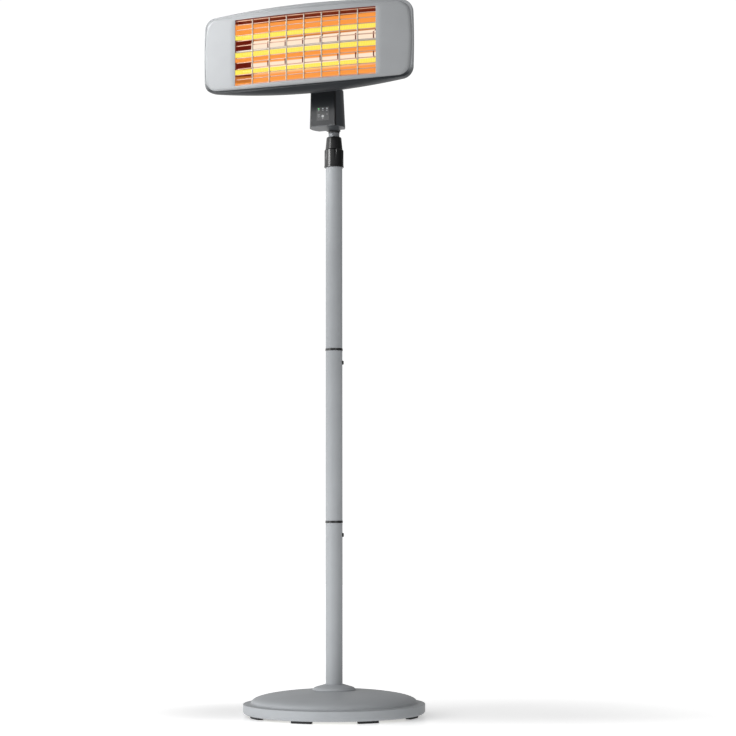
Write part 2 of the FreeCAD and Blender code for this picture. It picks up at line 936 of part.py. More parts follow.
def gland_nut():
    """Nut that holds the gland from inside the box."""
    height = box_top - gland_drop
    start = box_rear + box_wall
    nut = hexagon(at(0, start, height), -REAR, gland_nut_height, gland_nut_radius)
    through = gland_nut_height + 2 * overrun
    return nut.cut(rod(at(0, start - overrun, height), -REAR, through, gland_thread + running_gap))


# Tilt joint


def bracket_screw_places():
    """Sideways places of the screws that hold the tilt bracket on the box."""
    return [side * bracket_screw_half for side in SIDES]


def eye_hole(half):
    """Hole along the tilt axis for the tilt bolt."""
    start = at(-half - overrun, pivot_front, pivot_height)
    return rod(start, RIGHT, 2 * half + 2 * overrun, tilt_bolt_radius + running_gap)


def tilt_bracket():
    """U-shaped bracket on top of the control box."""
    foot = slab(-bracket_half, bracket_half, pivot_front - bracket_back, pivot_front + bracket_fore, box_top,
                box_top + bracket_sheet)
    pieces = []
    for x in (-bracket_half, bracket_half - bracket_sheet):
        corners = [
            at(x, pivot_front - bracket_foot, box_top),
            at(x, pivot_front + bracket_foot, box_top),
            at(x, pivot_front + bracket_eye, pivot_height),
            at(x, pivot_front - bracket_eye, pivot_height),
        ]
        pieces.append(plate(corners, RIGHT * bracket_sheet))
        pieces.append(rod(at(x, pivot_front, pivot_height), RIGHT, bracket_sheet, bracket_eye))
    bracket = foot.multiFuse(pieces).cut(eye_hole(bracket_half))
    holes = []
    for x in bracket_screw_places():
        start = at(x, pivot_front - bracket_screw_back, box_top - overrun)
        holes.append(rod(start, UP, 2 * bracket_sheet + overrun, screw_hole))
    return bracket.cut(Part.makeCompound(holes))


def bracket_screws():
    """Screws that hold the tilt bracket down on the box."""
    seat = box_top + bracket_sheet
    length = bracket_boss_depth
    front = pivot_front - bracket_screw_back
    return Part.makeCompound([screw(at(x, front, seat), -UP, length) for x in bracket_screw_places()])


def tilt_bolt():
    """Bolt that the head tilts on."""
    start = at(-bracket_half, pivot_front, pivot_height)
    head = hexagon(start - RIGHT * tilt_head_height, RIGHT, tilt_head_height, tilt_hex_radius)
    length = 2 * bracket_half + tilt_nut_height + tilt_bolt_radius / 2
    return head.fuse(rod(start, RIGHT, length, tilt_bolt_radius))


def tilt_nut():
    """Lock nut on the tilt bolt."""
    start = at(bracket_half, pivot_front, pivot_height)
    nut = hexagon(start, RIGHT, tilt_nut_height, tilt_hex_radius)
    through = tilt_nut_height + 2 * overrun
    return nut.cut(rod(start - RIGHT * overrun, RIGHT, through, tilt_bolt_radius + running_gap))


def tilt_washers():
    """Friction washers between the two brackets."""
    washers = []
    for x in (-lug_half - face_gap - washer_wall, lug_half + face_gap):
        start = at(x, pivot_front, pivot_height)
        washer = rod(start, RIGHT, washer_wall, washer_radius)
        washers.append(washer.cut(rod(start - RIGHT * overrun, RIGHT, washer_wall + 2 * overrun,
                                      tilt_bolt_radius + running_gap)))
    return Part.makeCompound(washers)


def lug_screw_places():
    """Places of the screws that hold the head's lugs, as (x, z)."""
    heights = (pivot_height - lug_low + lug_screw_inset, pivot_height + lug_high - lug_screw_inset)
    return [(side * lug_screw_half, height) for side in SIDES for height in heights]


def head_lugs():
    """Bracket on the back of the head with the two eyes that turn on the tilt bolt."""
    low = pivot_height - lug_low
    high = pivot_height + lug_high
    rear = back_front - bracket_sheet
    foot = slab(-lug_half, lug_half, rear, back_front, low, high)
    pieces = []
    for x in (-lug_half, lug_half - bracket_sheet):
        corners = [
            at(x, rear, low),
            at(x, rear, high),
            at(x, pivot_front, pivot_height + lug_eye),
            at(x, pivot_front, pivot_height - lug_eye),
        ]
        pieces.append(plate(corners, RIGHT * bracket_sheet))
        pieces.append(rod(at(x, pivot_front, pivot_height), RIGHT, bracket_sheet, lug_eye))
    lugs = foot.multiFuse(pieces).cut(eye_hole(lug_half))
    drills = [rod(at(x, rear - overrun, z), -REAR, bracket_sheet + 2 * overrun, screw_hole)
              for x, z in lug_screw_places()]
    return lugs.cut(Part.makeCompound(drills))


def lug_screws():
    """Screws that hold the lugs on the head's back."""
    seat = back_front - bracket_sheet
    length = bracket_sheet + lug_boss_depth - running_gap
    return Part.makeCompound([screw(at(x, seat, z), -REAR, length) for x, z in lug_screw_places()])


# Head shells


def crossing(first, first_reach, second, second_reach):
    """Upper right point at given distances from two points, in the head's (x, z) plane."""
    gap = second - first
    share = (first_reach ** 2 - second_reach ** 2 + gap.Length ** 2) / (2 * gap.Length ** 2)
    foot = first + gap * share
    rest = math.sqrt(first_reach ** 2 - (gap.Length * share) ** 2)
    side = V(-gap.z, 0, gap.x) * (rest / gap.Length)
    return max(foot + side, foot - side, key=lambda point: point.x + point.z)


def bowed_outline(half_width, half_height, rise, side_rise, corner, front):
    """Upright outline of four bowed sides with round corners that run smoothly into them.

    The upper side is an arc through its crown, lower by the rise at both ends; the sides bow alike, and each
    corner is the circle that touches both arcs from inside.
    """
    top_radius = (half_width ** 2 + rise ** 2) / (2 * rise)
    side_radius = (half_height ** 2 + side_rise ** 2) / (2 * side_rise)
    top_centre = V(0, 0, half_height - top_radius)
    side_centre = V(half_width - side_radius, 0, 0)
    centre = crossing(top_centre, top_radius - corner, side_centre, side_radius - corner)
    top_way = (centre - top_centre).normalize()
    side_way = (centre - side_centre).normalize()
    top_end = top_centre + top_way * top_radius
    side_end = side_centre + side_way * side_radius
    middle = centre + (top_way + side_way).normalize() * corner

    def place(point, x_sign, z_sign):
        return at(point.x * x_sign, front, head_height + point.z * z_sign)

    crown = V(0, 0, half_height)
    flank = V(half_width, 0, 0)
    edges = [
        edge_arc(place(top_end, -1, 1), place(crown, 1, 1), place(top_end, 1, 1)),
        edge_arc(place(top_end, 1, 1), place(middle, 1, 1), place(side_end, 1, 1)),
        edge_arc(place(side_end, 1, 1), place(flank, 1, 1), place(side_end, 1, -1)),
        edge_arc(place(side_end, 1, -1), place(middle, 1, -1), place(top_end, 1, -1)),
        edge_arc(place(top_end, 1, -1), place(crown, 1, -1), place(top_end, -1, -1)),
        edge_arc(place(top_end, -1, -1), place(middle, -1, -1), place(side_end, -1, -1)),
        edge_arc(place(side_end, -1, -1), place(flank, -1, 1), place(side_end, -1, 1)),
        edge_arc(place(side_end, -1, 1), place(middle, -1, 1), place(top_end, -1, 1)),
    ]
    return Part.Wire(edges)


def face_drum(radius):
    """Big upright drum about the centre of the bowed face."""
    tall = 2 * shoulder_half_height + 2 * overrun
    return rod(at(0, drum_front, head_height - tall / 2), UP, tall, radius)


def bezel_prism(inset, start):
    """Bezel outline, drawn in by an inset, run forwards past the face from a start."""
    outline = bowed_outline(bezel_half_width - inset, bezel_half_height - inset, bezel_rise, bezel_side_rise,
                            bezel_corner - inset, start)
    return Part.Face(outline).extrude(-REAR * (face_front - start + overrun))


def opening_prism(grow, start):
    """Round-cornered block through the bezel's opening, grown all round."""
    half_width = opening_half_width + grow
    half_height = opening_half_height + grow
    block = slab(-half_width, half_width, start, face_front + overrun, opening_height - half_height,
                 opening_height + half_height)
    long_edges = [edge for edge in block.Edges if abs(edge.tangentAt(edge.FirstParameter).y) > math.sqrt(0.5)]
    return block.makeFillet(opening_corner + grow, long_edges)


def case_screw_places():
    """Places of the screws that join bezel and housing, as (x, z)."""
    heights = [head_height + lift * case_screw_rise for lift in SIDES]
    return [(side * case_screw_half, height) for side in SIDES for height in heights]


def tube_pad_places():
    """Places of the bezel's pads that carry the tube brackets, as (x, z), between the tubes."""
    return [(side * tube_pad_half, head_height + lift * tube_pitch / 2) for side in SIDES for lift in SIDES]


def front_bezel():
    """Bowed front plate with a skirt inside the housing, a frame round its opening and screw bosses."""
    start = case_seat_front
    inner_drum = face_drum(face_radius - bezel_wall)
    face_sheet = bezel_prism(0, start).common(face_drum(face_radius)).cut(inner_drum)
    rim = [edge for edge in face_sheet.Edges if is_face_rim(edge)]
    face_sheet = face_sheet.makeFillet(bezel_edge, rim)
    skirt_inset = housing_wall + slip_gap + running_gap
    skirt = bezel_prism(skirt_inset, start).cut(bezel_prism(skirt_inset + skirt_wall, start - overrun))
    skirt = skirt.common(face_drum(face_radius - bezel_wall / 2))
    skirt = skirt.cut(face_drum(face_radius - bezel_wall - skirt_depth))
    frame = opening_prism(frame_wall, start).common(face_drum(face_radius - bezel_wall / 2))
    frame = frame.cut(face_drum(frame_end_radius))
    posts = []
    drills = []
    for x, z in case_screw_places():
        posts.append(rod(at(x, case_seat_front, z), -REAR, face_front, case_boss_radius))
        drills.append(rod(at(x, case_seat_front - overrun, z), -REAR, screw_length / 2 + overrun, screw_hole))
    for x, z in tube_pad_places():
        posts.append(rod(at(x, tube_bracket_front, z), -REAR, face_front, tube_pad_radius))
        mouth = at(x, tube_bracket_front - overrun, z)
        drills.append(rod(mouth, -REAR, screw_length / 2 + overrun, screw_hole))
    posts = [post.common(face_drum(face_radius - bezel_wall / 2)) for post in posts]
    bezel = face_sheet.multiFuse([skirt, frame] + posts)
    return bezel.cut(opening_prism(0, start - overrun)).cut(Part.makeCompound(drills))


def is_face_rim(edge):
    """Whether an edge of the bezel's sheet runs round the outside of its front."""
    for vertex in edge.Vertexes:
        reach = math.hypot(vertex.X, -vertex.Y - drum_front)
        if abs(reach - face_radius) > running_gap:
            return False
    return True


def housing_body(inset):
    """Rear housing as a solid, drawn in by an inset.

    Its upright sections grow from the flat back along a quarter of an ellipse to the shoulder, then close in
    to the bezel's outline.
    """
    wires = []
    first = math.radians(back_angle)
    depth = shoulder_front - back_front
    for step in range(housing_steps + 1):
        angle = first + (math.pi / 2 - first) * step / housing_steps
        grown = (math.sin(angle) - math.sin(first)) / (1 - math.sin(first))
        front = shoulder_front - depth * math.cos(angle) / math.cos(first)
        front += inset * (1 - grown)

        def between(back, shoulder):
            return back + (shoulder - back) * grown

        wires.append(bowed_outline(
            between(back_half_width, shoulder_half_width) - inset,
            between(back_half_height, shoulder_half_height) - inset,
            between(back_rise, shoulder_rise),
            between(back_side_rise, shoulder_side_rise),
            between(back_corner, bezel_corner) - inset,
            front,
        ))
    wide = bezel_half_width - inset
    tall = bezel_half_height - inset
    wires.append(bowed_outline(wide, tall, bezel_rise, bezel_side_rise, bezel_corner - inset, face_front))
    return Part.makeLoft(wires, True, False)


def rear_housing():
    """Rounded rear shell with screw bosses and vents."""
    skin = housing_body(0)
    shell = skin.cut(housing_body(housing_wall))
    posts = []
    drills = []
    for x, z in case_screw_places():
        post = rod(at(x, back_front, z), -REAR, case_seat_front - back_front, case_boss_radius)
        posts.append(post.common(skin))
        drills.append(rod(at(x, back_front, z), -REAR, case_screw_seat() - back_front, head_hole))
        drills.append(rod(at(x, back_front, z), -REAR, face_front - back_front, screw_hole))
    for x, z in lug_screw_places():
        posts.append(rod(at(x, back_front, z), -REAR, lug_boss_depth, bracket_boss_radius))
        drills.append(rod(at(x, back_front - overrun, z), -REAR, lug_boss_depth + overrun, screw_hole))
    for step in range(vent_count):
        x = vent_pitch * (step - (vent_count - 1) / 2)
        low = head_height + vent_rise - vent_height / 2
        low_x = x - vent_width / 2
        deep = back_front + 2 * housing_wall
        drills.append(slab(low_x, low_x + vent_width, back_front - overrun, deep, low, low + vent_height))
    shell = shell.multiFuse(posts).cut(Part.makeCompound(drills))
    return shell.common(face_drum(face_radius - bezel_wall - parting_gap))


def case_screw_seat():
    """Front of the seat that the case screws' heads rest on."""
    return case_seat_front - screw_length / 2


def case_screws():
    """Screws from the rear that join housing and bezel."""
    seat = case_screw_seat()
    length = screw_length - face_gap
    return Part.makeCompound([screw(at(x, seat, z), -REAR, length) for x, z in case_screw_places()])


# Grille


def level_wire(height, drum, half_width):
    """Flattened wire that follows the bowed face across the opening."""
    low = at(0, drum_front, height - row_wire)
    ring = rod(low, UP, 2 * row_wire, drum + row_wire).cut(rod(low, UP, 2 * row_wire, drum - row_wire))
    return ring.common(slab(-half_width, half_width, 0, face_front, height - row_wire, height + row_wire))


def grille():
    """Welded wire guard inside the opening's frame: level wires cross behind the upright ones."""
    half_width = opening_half_width - slip_gap - column_wire
    half_height = opening_half_height - slip_gap - column_wire
    upright_half = half_height + row_wire
    uprights = []
    for step in range(grille_columns + 1):
        x = half_width * (2 * step / grille_columns - 1)
        front = drum_front + math.sqrt(wire_drum ** 2 - x ** 2)
        uprights.append(rod(at(x, front, opening_height - upright_half), UP, 2 * upright_half, column_wire))
    row_drum = wire_drum - column_wire - row_wire + wire_bite
    levels = []
    for step in range(grille_rows + 1):
        height = opening_height + half_height * (2 * step / grille_rows - 1)
        levels.append(level_wire(height, row_drum, half_width + row_wire))
    return uprights[0].multiFuse(uprights[1:] + levels)


# Reflector, heat shield and heating tubes


def tray_section(shift):
    """Corners of the reflector's section as (front, z): three troughs with flat ridges, seen from the front.

    The shift moves the whole fold outwards by the sheet, so two sections bound the metal.
    """
    top = opening_height + opening_half_height + slip_gap + shift
    low = opening_height - opening_half_height - slip_gap - shift
    corners = [(face_front, top), (ridge_front - shift, top - shift)]
    for height in tube_heights:
        mouth = tube_pitch / 2 - ridge_half + shift
        corners += [
            (ridge_front - shift, height + mouth),
            (trough_front - shift, height + trough_half + shift),
            (trough_front - shift, height - trough_half - shift),
            (ridge_front - shift, height - mouth),
        ]
    corners += [(ridge_front - shift, low + shift), (face_front, low)]
    return corners


def tray_body(shift):
    """Space in front of the reflector, with leaning ends, moved outwards by a shift."""
    wide = opening_half_width + slip_gap + shift
    section = [at(-wide - overrun, front, z) for front, z in tray_section(shift)]
    body = plate(section, RIGHT * (2 * wide + 2 * overrun))
    low = opening_height - opening_half_height - frame_depth
    rear = trough_front - shift - overrun
    narrow = wide - end_lean
    plan = [
        at(-wide, face_front, low),
        at(wide, face_front, low),
        at(narrow, rear, low),
        at(-narrow, rear, low),
    ]
    return body.common(plate(plan, UP * (2 * opening_half_height + 2 * frame_depth)))


def reflector():
    """Polished tray behind the tubes; the tubes pass through its leaning ends."""
    tray = tray_body(reflector_sheet).cut(tray_body(0))
    holes = []
    for height in tube_heights:
        holes.append(rod(at(-tube_half_length, tube_front, height), RIGHT, 2 * tube_half_length,
                         tube_radius + tube_hole_gap))
    tray = tray.cut(Part.makeCompound(holes))
    return tray.common(face_drum(frame_end_radius - slip_gap))


def quartz_tube(height):
    """Hollow quartz tube."""
    start = at(-tube_half_length, tube_front, height)
    tube = rod(start, RIGHT, 2 * tube_half_length, tube_radius)
    through = 2 * tube_half_length + 2 * overrun
    return tube.cut(rod(start - RIGHT * overrun, RIGHT, through, tube_radius - tube_wall))


def heating_coils():
    """Wound heating wires, each as the round core that its close turns make."""
    length = 2 * coil_half_length
    starts = [at(-coil_half_length, tube_front, height) for height in tube_heights]
    return Part.makeCompound([rod(start, RIGHT, length, coil_radius) for start in starts])


def end_cap(side, height):
    """Ceramic cap on one end of a tube, with the lead that reaches its coil."""
    way = RIGHT * side
    mouth = at(side * (tube_half_length - cap_tube_grip), tube_front, height)
    cap = rod(mouth, way, cap_tube_grip + cap_tube_end, cap_tube_radius)
    cap = cap.cut(rod(mouth - way * overrun, way, cap_tube_grip + overrun, tube_radius + running_gap))
    lead_length = tube_half_length - coil_half_length + cap_tube_end
    return cap.fuse(rod(at(side * coil_half_length, tube_front, height), way, lead_length, lead_radius))


def end_caps():
    """Ceramic caps on both ends of the tubes."""
    return Part.makeCompound([end_cap(side, height) for side in SIDES for height in tube_heights])


def tube_bracket(side):
    """Folded sheet that holds the ceramic caps of one end and is screwed to the bezel's pads."""
    half = tube_pitch + tube_bracket_margin
    low = head_height - half
    high = head_height + half
    inner = side * tube_bracket_half_width
    outer = inner + side * tube_bracket_sheet
    rear = tube_front - cap_tube_radius - tube_bracket_sheet
    web = slab(min(inner, outer), max(inner, outer), rear, tube_bracket_front, low, high)
    end = inner + side * tube_bracket_foot
    foot_back = tube_bracket_front - tube_bracket_sheet
    foot = slab(min(inner, end), max(inner, end), foot_back, tube_bracket_front, low, high)
    drills = []
    for height in tube_heights:
        start = at(inner - side * overrun, tube_front, height)
        through = tube_bracket_sheet + 2 * overrun
        drills.append(rod(start, RIGHT * side, through, cap_tube_radius + running_gap))
    for x, z in tube_pad_places():
        drills.append(rod(at(x, tube_bracket_front - 2 * overrun, z), -REAR, 2 * overrun, screw_hole))
    return web.fuse(foot).cut(Part.makeCompound(drills))


def tube_screws():
    """Screws that hold the tube brackets to the bezel's pads."""
    seat = tube_bracket_front - tube_bracket_sheet
    length = screw_length / 2
    return Part.makeCompound([screw(at(x, seat, z), -REAR, length) for x, z in tube_pad_places()])


def heat_shield():
    """Plain sheet behind the reflector that keeps the housing cool, on four pressed posts."""
    sheet = slab(-shield_half_width, shield_half_width, shield_front, shield_front + shield_sheet,
                 head_height - shield_half_height, head_height + shield_half_height)
    posts = []
    length = trough_front - reflector_sheet - shield_front
    for side in SIDES:
        for height in (tube_heights[0], tube_heights[-1]):
            foot = at(side * shield_post_half, shield_front, height)
            posts.append(rod(foot, -REAR, length, shield_post_radius))
    return sheet.multiFuse(posts)


def head_terminals():
    """Ceramic terminal block on the back of the heat shield."""
    body = slab(-block_half_length, block_half_length, shield_front - block_depth, shield_front,
                head_height - block_half_height, head_height + block_half_height)
    entries = []
    for step in (-1, 0, 1):
        x = step * block_half_length * 2 / 3
        mouth = at(x, shield_front - block_depth / 2, head_height - block_half_height - overrun)
        entries.append(rod(mouth, UP, block_half_height + overrun, gland_bore / 2))
    return body.cut(Part.makeCompound(entries))


def main():
    """Build every piece and write it."""
    os.makedirs("parts", exist_ok=True)
    save("base_cover", base_cover())
    save("base_plate", base_plate())
    save("base_screws", base_screws())
    save("base_feet", base_feet())
    save("base_weight", base_weight())
    save("pole_socket", pole_socket())
    save("tie_bolt", tie_bolt())
    save("tie_nut", tie_nut())
    save("pole_cap", pole_cap())
    save("lower_tube", pole_tube(socket_seat, lower_tube_length, lower_ring - button_drop))
    save("middle_tube", pole_tube(middle_seat, middle_tube_length, upper_ring - button_drop))
    save("upper_tube", pole_tube(upper_seat, upper_tube_length))
    for name, ring in (("lower", lower_ring), ("upper", upper_ring)):
        save(name + "_coupler", coupler(ring))
        save(name + "_snap_button", snap_button(ring))
        save(name + "_button_spring", button_spring(ring))
    save("clamp_base", clamp_base())
    save("clamp_collet", clamp_collet())
    save("clamp_collar", clamp_collar())
    save("glide_plug", glide_plug())
    save("mast_tube", mast_tube())
    save("box_front_shell", box_front_shell())
    save("box_rear_shell", box_rear_shell())
    save("box_screws", box_screws())
    save("neck_screw", neck_screw())
    save("control_panel", control_panel())
    save("key_film", key_film())
    save("power_key", power_key())
    save("key_switch", key_switch())
    save("indicator_lamps", indicator_lamps())
    save("control_board", control_board())
    save("heat_relays", heat_relays())
    save("tip_switch", tip_switch())
    save("terminal_block", terminal_block())
    save("cable_gland", cable_gland())
    save("gland_nut", gland_nut())
    save("tilt_bracket", tilt_bracket())
    save("bracket_screws", bracket_screws())
    save("tilt_bolt", tilt_bolt())
    save("tilt_nut", tilt_nut())
    save("tilt_washers", tilt_washers())
    save("head_lugs", head_lugs())
    save("lug_screws", lug_screws())
    save("front_bezel", front_bezel())
    save("rear_housing", rear_housing())
    save("case_screws", case_screws())
    save("grille", grille())
    save("reflector", reflector())
    for name, height in zip(("upper", "middle", "lower"), tube_heights):
        save(name + "_quartz_tube", quartz_tube(height))
    save("heating_coils", heating_coils())
    save("end_caps", end_caps())
    for name, side in (("left", -1), ("right", 1)):
        save(name + "_tube_bracket", tube_bracket(side))
    save("tube_screws", tube_screws())
    save("heat_shield", heat_shield())
    save("head_terminals", head_terminals())


main()
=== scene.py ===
"""Looks of a free-standing infrared heater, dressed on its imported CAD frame."""

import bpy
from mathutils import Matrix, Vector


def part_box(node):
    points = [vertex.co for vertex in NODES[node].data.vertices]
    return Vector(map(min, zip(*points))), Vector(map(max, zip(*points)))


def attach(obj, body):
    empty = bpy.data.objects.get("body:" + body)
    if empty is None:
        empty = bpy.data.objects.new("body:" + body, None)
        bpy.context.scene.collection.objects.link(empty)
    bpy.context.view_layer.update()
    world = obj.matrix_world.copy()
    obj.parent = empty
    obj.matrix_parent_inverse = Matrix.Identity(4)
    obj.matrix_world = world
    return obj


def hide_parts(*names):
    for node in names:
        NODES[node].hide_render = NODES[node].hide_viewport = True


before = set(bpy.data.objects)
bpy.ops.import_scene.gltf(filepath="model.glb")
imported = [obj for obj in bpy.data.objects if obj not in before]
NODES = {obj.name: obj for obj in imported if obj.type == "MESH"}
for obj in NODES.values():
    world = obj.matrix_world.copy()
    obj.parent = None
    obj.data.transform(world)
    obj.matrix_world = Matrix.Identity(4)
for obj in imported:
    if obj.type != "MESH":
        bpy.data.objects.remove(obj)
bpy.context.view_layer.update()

import math

import bpy
import numpy as np
from mathutils import Euler, Matrix, Vector

bl_info = {
    "name": "Infrared heater",
    "version": (1, 0, 0),
    "blender": (4, 5, 0),
    "location": "View3D > Sidebar > Heater",
    "description": "Dresses the CAD frame of a free-standing infrared heater with its finishes and fine parts",
    "category": "Object",
}

MM = 0.001
FULL_TURN = 2 * math.pi
Y, Z = 1, 2


def middle_of(name, axis):
    """The middle of a CAD node's box along an axis, in millimetres."""
    low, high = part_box(name)
    return (low[axis] + high[axis]) / 2 / MM


# Places that the CAD model gives, in millimetres
BASE_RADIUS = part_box("base_cover")[1].x / MM
FOOT_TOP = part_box("base_cover")[0].z / MM
DOME_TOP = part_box("pole_cap")[0].z / MM
CAP_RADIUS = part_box("pole_cap")[1].x / MM
CAP_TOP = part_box("pole_cap")[1].z / MM
POLE_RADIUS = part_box("middle_tube")[1].x / MM
MAST_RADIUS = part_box("mast_tube")[1].x / MM
BOX_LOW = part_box("box_front_shell")[0].z / MM
PANEL_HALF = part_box("control_panel")[1].x / MM
PANEL_FRONT = -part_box("control_panel")[0].y / MM
FILM_FRONT = -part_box("key_film")[0].y / MM
LAMP_HEIGHT = middle_of("indicator_lamps", Z)
LAMP_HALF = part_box("indicator_lamps")[1].x / MM
KEY_HEIGHT = middle_of("power_key", Z)
TUBE_NAMES = ["upper_quartz_tube", "middle_quartz_tube", "lower_quartz_tube"]
TUBE_HEIGHTS = [middle_of(name, Z) for name in TUBE_NAMES]
TUBE_MIDDLE = TUBE_HEIGHTS[1]
TUBE_PITCH = TUBE_HEIGHTS[0] - TUBE_MIDDLE
TUBE_FRONT = -middle_of("middle_quartz_tube", Y)
TUBE_RADIUS = 5.8
GRILLE_LOW, GRILLE_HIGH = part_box("grille")
COLUMNS, ROWS = 8, 12
# The bezel's face lies on a wide upright drum
BEZEL_LOW, BEZEL_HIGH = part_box("front_bezel")
BEZEL_MIDDLE = middle_of("front_bezel", Z)
FACE_RADIUS = 2000.0
FACE_FRONT = -BEZEL_LOW.y / MM
# The grille reaches past the opening's ends and stays clear of its lower and upper edges
END_LAP, LOW_GAP, HIGH_GAP = 0.9, 0.9, 2.3
OPENING_HALF = GRILLE_HIGH.x / MM - END_LAP
OPENING_LOW = GRILLE_LOW.z / MM - LOW_GAP
OPENING_HIGH = GRILLE_HIGH.z / MM + HIGH_GAP
# The glow's bands lie within this height over and under the middle tube
GLOW_REACH = 75.0
# Corners of a block's six faces: four points of one end, then the four of the other
BLOCK_FACES = np.array([(0, 1, 2, 3), (7, 6, 5, 4), (0, 4, 5, 1), (1, 5, 6, 2), (2, 6, 7, 3), (3, 7, 4, 0)])


def linear(hex_colour):
    """Linear RGB of an sRGB hex value."""
    parts = [int(hex_colour[place:place + 2], 16) / 255 for place in (0, 2, 4)]
    return [part / 12.92 if part <= 0.04045 else ((part + 0.055) / 1.055) ** 2.4 for part in parts]


def colour(name, what, hex_colour):
    """A colour that a user may change, with its sRGB hex default."""
    return bpy.props.FloatVectorProperty(name=name, description=what, default=linear(hex_colour), size=3,
                                         min=0.0, max=1.0, subtype="COLOR")


class HeaterColours(bpy.types.PropertyGroup):
    """Colours of the heater's finishes."""
    paint: colour("Silver paint", "Powder coat of base and pole", "9c9fa2")
    bezel: colour("Bezel paint", "Powder coat of the head's front and upper housing", "8d8f91")
    # Housing: the dark tone that the rear housing goes to towards its bottom
    housing: colour("Housing paint", "Dark coat under the rear housing", "202326")
    plastic: colour("Black plastic", "Moulded couplers, collar and buttons", "0b0c0d")
    box: colour("Box plastic", "Moulded control box", "34373a")
    panel: colour("Panel", "Glossy control panel", "232527")
    film: colour("Film", "Printed film around the key", "1e2022")
    print: colour("Print", "Printed marks on panel and film", "b9bcbe")
    mast: colour("Mast", "Inner steel tube", "787b7e")
    wire: colour("Wire", "Upright grille wires and the stout middle one", "a89d92")
    # Warm wire: painted orange light of the tubes' glow on the level wires
    warm_wire: colour("Warm wire", "Level grille wires, tinted by heat", "bf9580")
    tube_glow: colour("Tube glow", "Glowing quartz tubes", "ffee60")
    # Deep, pale and dark glow are painted reflections of the tubes and painted shade in the reflector, given out
    # as emission
    deep_glow: colour("Deep glow", "Reflector beside a tube", "fa9a45")
    pale_glow: colour("Pale glow", "Reflector ridge that mirrors the tubes", "ffe8cf")
    dark_glow: colour("Dark glow", "Walls of the reflector tray", "64150c")


class HeaterSizes(bpy.types.PropertyGroup):
    """Sizes of the fine parts that the CAD model leaves plain."""
    peel: bpy.props.FloatProperty(name="Orange peel", description="Width of the paint's ripples",
                                  default=1.6 * MM, min=0.0001, unit="LENGTH")
    coil_pitch: bpy.props.FloatProperty(name="Coil pitch", description="Step of a heating coil's turns",
                                        default=4.0 * MM, min=0.001, unit="LENGTH")
    wire: bpy.props.FloatProperty(name="Upright wire", description="Radius of the grille's upright wires",
                                  default=1.6 * MM, min=0.0005, unit="LENGTH")
    row_wire: bpy.props.FloatProperty(name="Level wire", description="Radius of the grille's level wires",
                                      default=1.15 * MM, min=0.0003, unit="LENGTH")


class HeaterStage(bpy.types.PropertyGroup):
    """Camera and light of the picture."""
    lens: bpy.props.FloatProperty(name="Lens", description="Focal length on a 36 mm sensor", default=95.4,
                                  min=10.0, subtype="DISTANCE_CAMERA")
    place: bpy.props.FloatVectorProperty(name="Camera place", description="Where the camera stands",
                                         default=(1.659, -4.107, 0.427), size=3, unit="LENGTH")
    pitch: bpy.props.FloatProperty(name="Pitch", description="How far the camera looks up",
                                   default=math.radians(4.6), unit="ROTATION")
    turn: bpy.props.FloatProperty(name="Turn", description="How far the camera looks to the right of the pole",
                                  default=math.radians(1.0), unit="ROTATION")
    roll: bpy.props.FloatProperty(name="Roll", description="How far the camera leans to its right",
                                  default=math.radians(0.1), unit="ROTATION")
    key: bpy.props.FloatProperty(name="Key light", description="Strength of the soft box at the left",
                                 default=0.92, min=0.0, unit="POWER")
    fill: bpy.props.FloatProperty(name="Fill light", description="Strength of the soft box at the right",
                                  default=0.4, min=0.0, unit="POWER")
    low: bpy.props.FloatProperty(name="Low light", description="Strength of the soft box before the base",
                                 default=1.1, min=0.0, unit="POWER")
    overhead: bpy.props.FloatProperty(name="Overhead light", default=0.6, min=0.0, unit="POWER",
                                      description="Strength of the soft box over the head")


def node(tree, kind, settings=None, links=None):
    """Adds a node, sets its values, a ramp's stops among them, and joins its inputs to other outputs."""
    made = tree.nodes.new(kind)
    for name, value in (settings or {}).items():
        if name == "stops":
            ramp = made.color_ramp
            while len(ramp.elements) < len(value):
                ramp.elements.new(1.0)
            for element, (place, shade) in zip(ramp.elements, value):
                element.position = place
                element.color = (*shade, 1.0)
        elif isinstance(name, str) and hasattr(made, name):
            setattr(made, name, value)
        else:
            made.inputs[name].default_value = value
    for name, source in (links or {}).items():
        tree.links.new(source, made.inputs[name])
    return made


def fade(low, high, start=0.0, end=1.0):
    """Settings of a value that goes from start to end while another goes from low to high."""
    return {"From Min": low, "From Max": high, "To Min": start, "To Max": end}


def bare_material(name):
    """A new material with an empty node tree, and that tree."""
    material = bpy.data.materials.new(name)
    material.use_nodes = True
    material.node_tree.nodes.clear()
    return material, material.node_tree


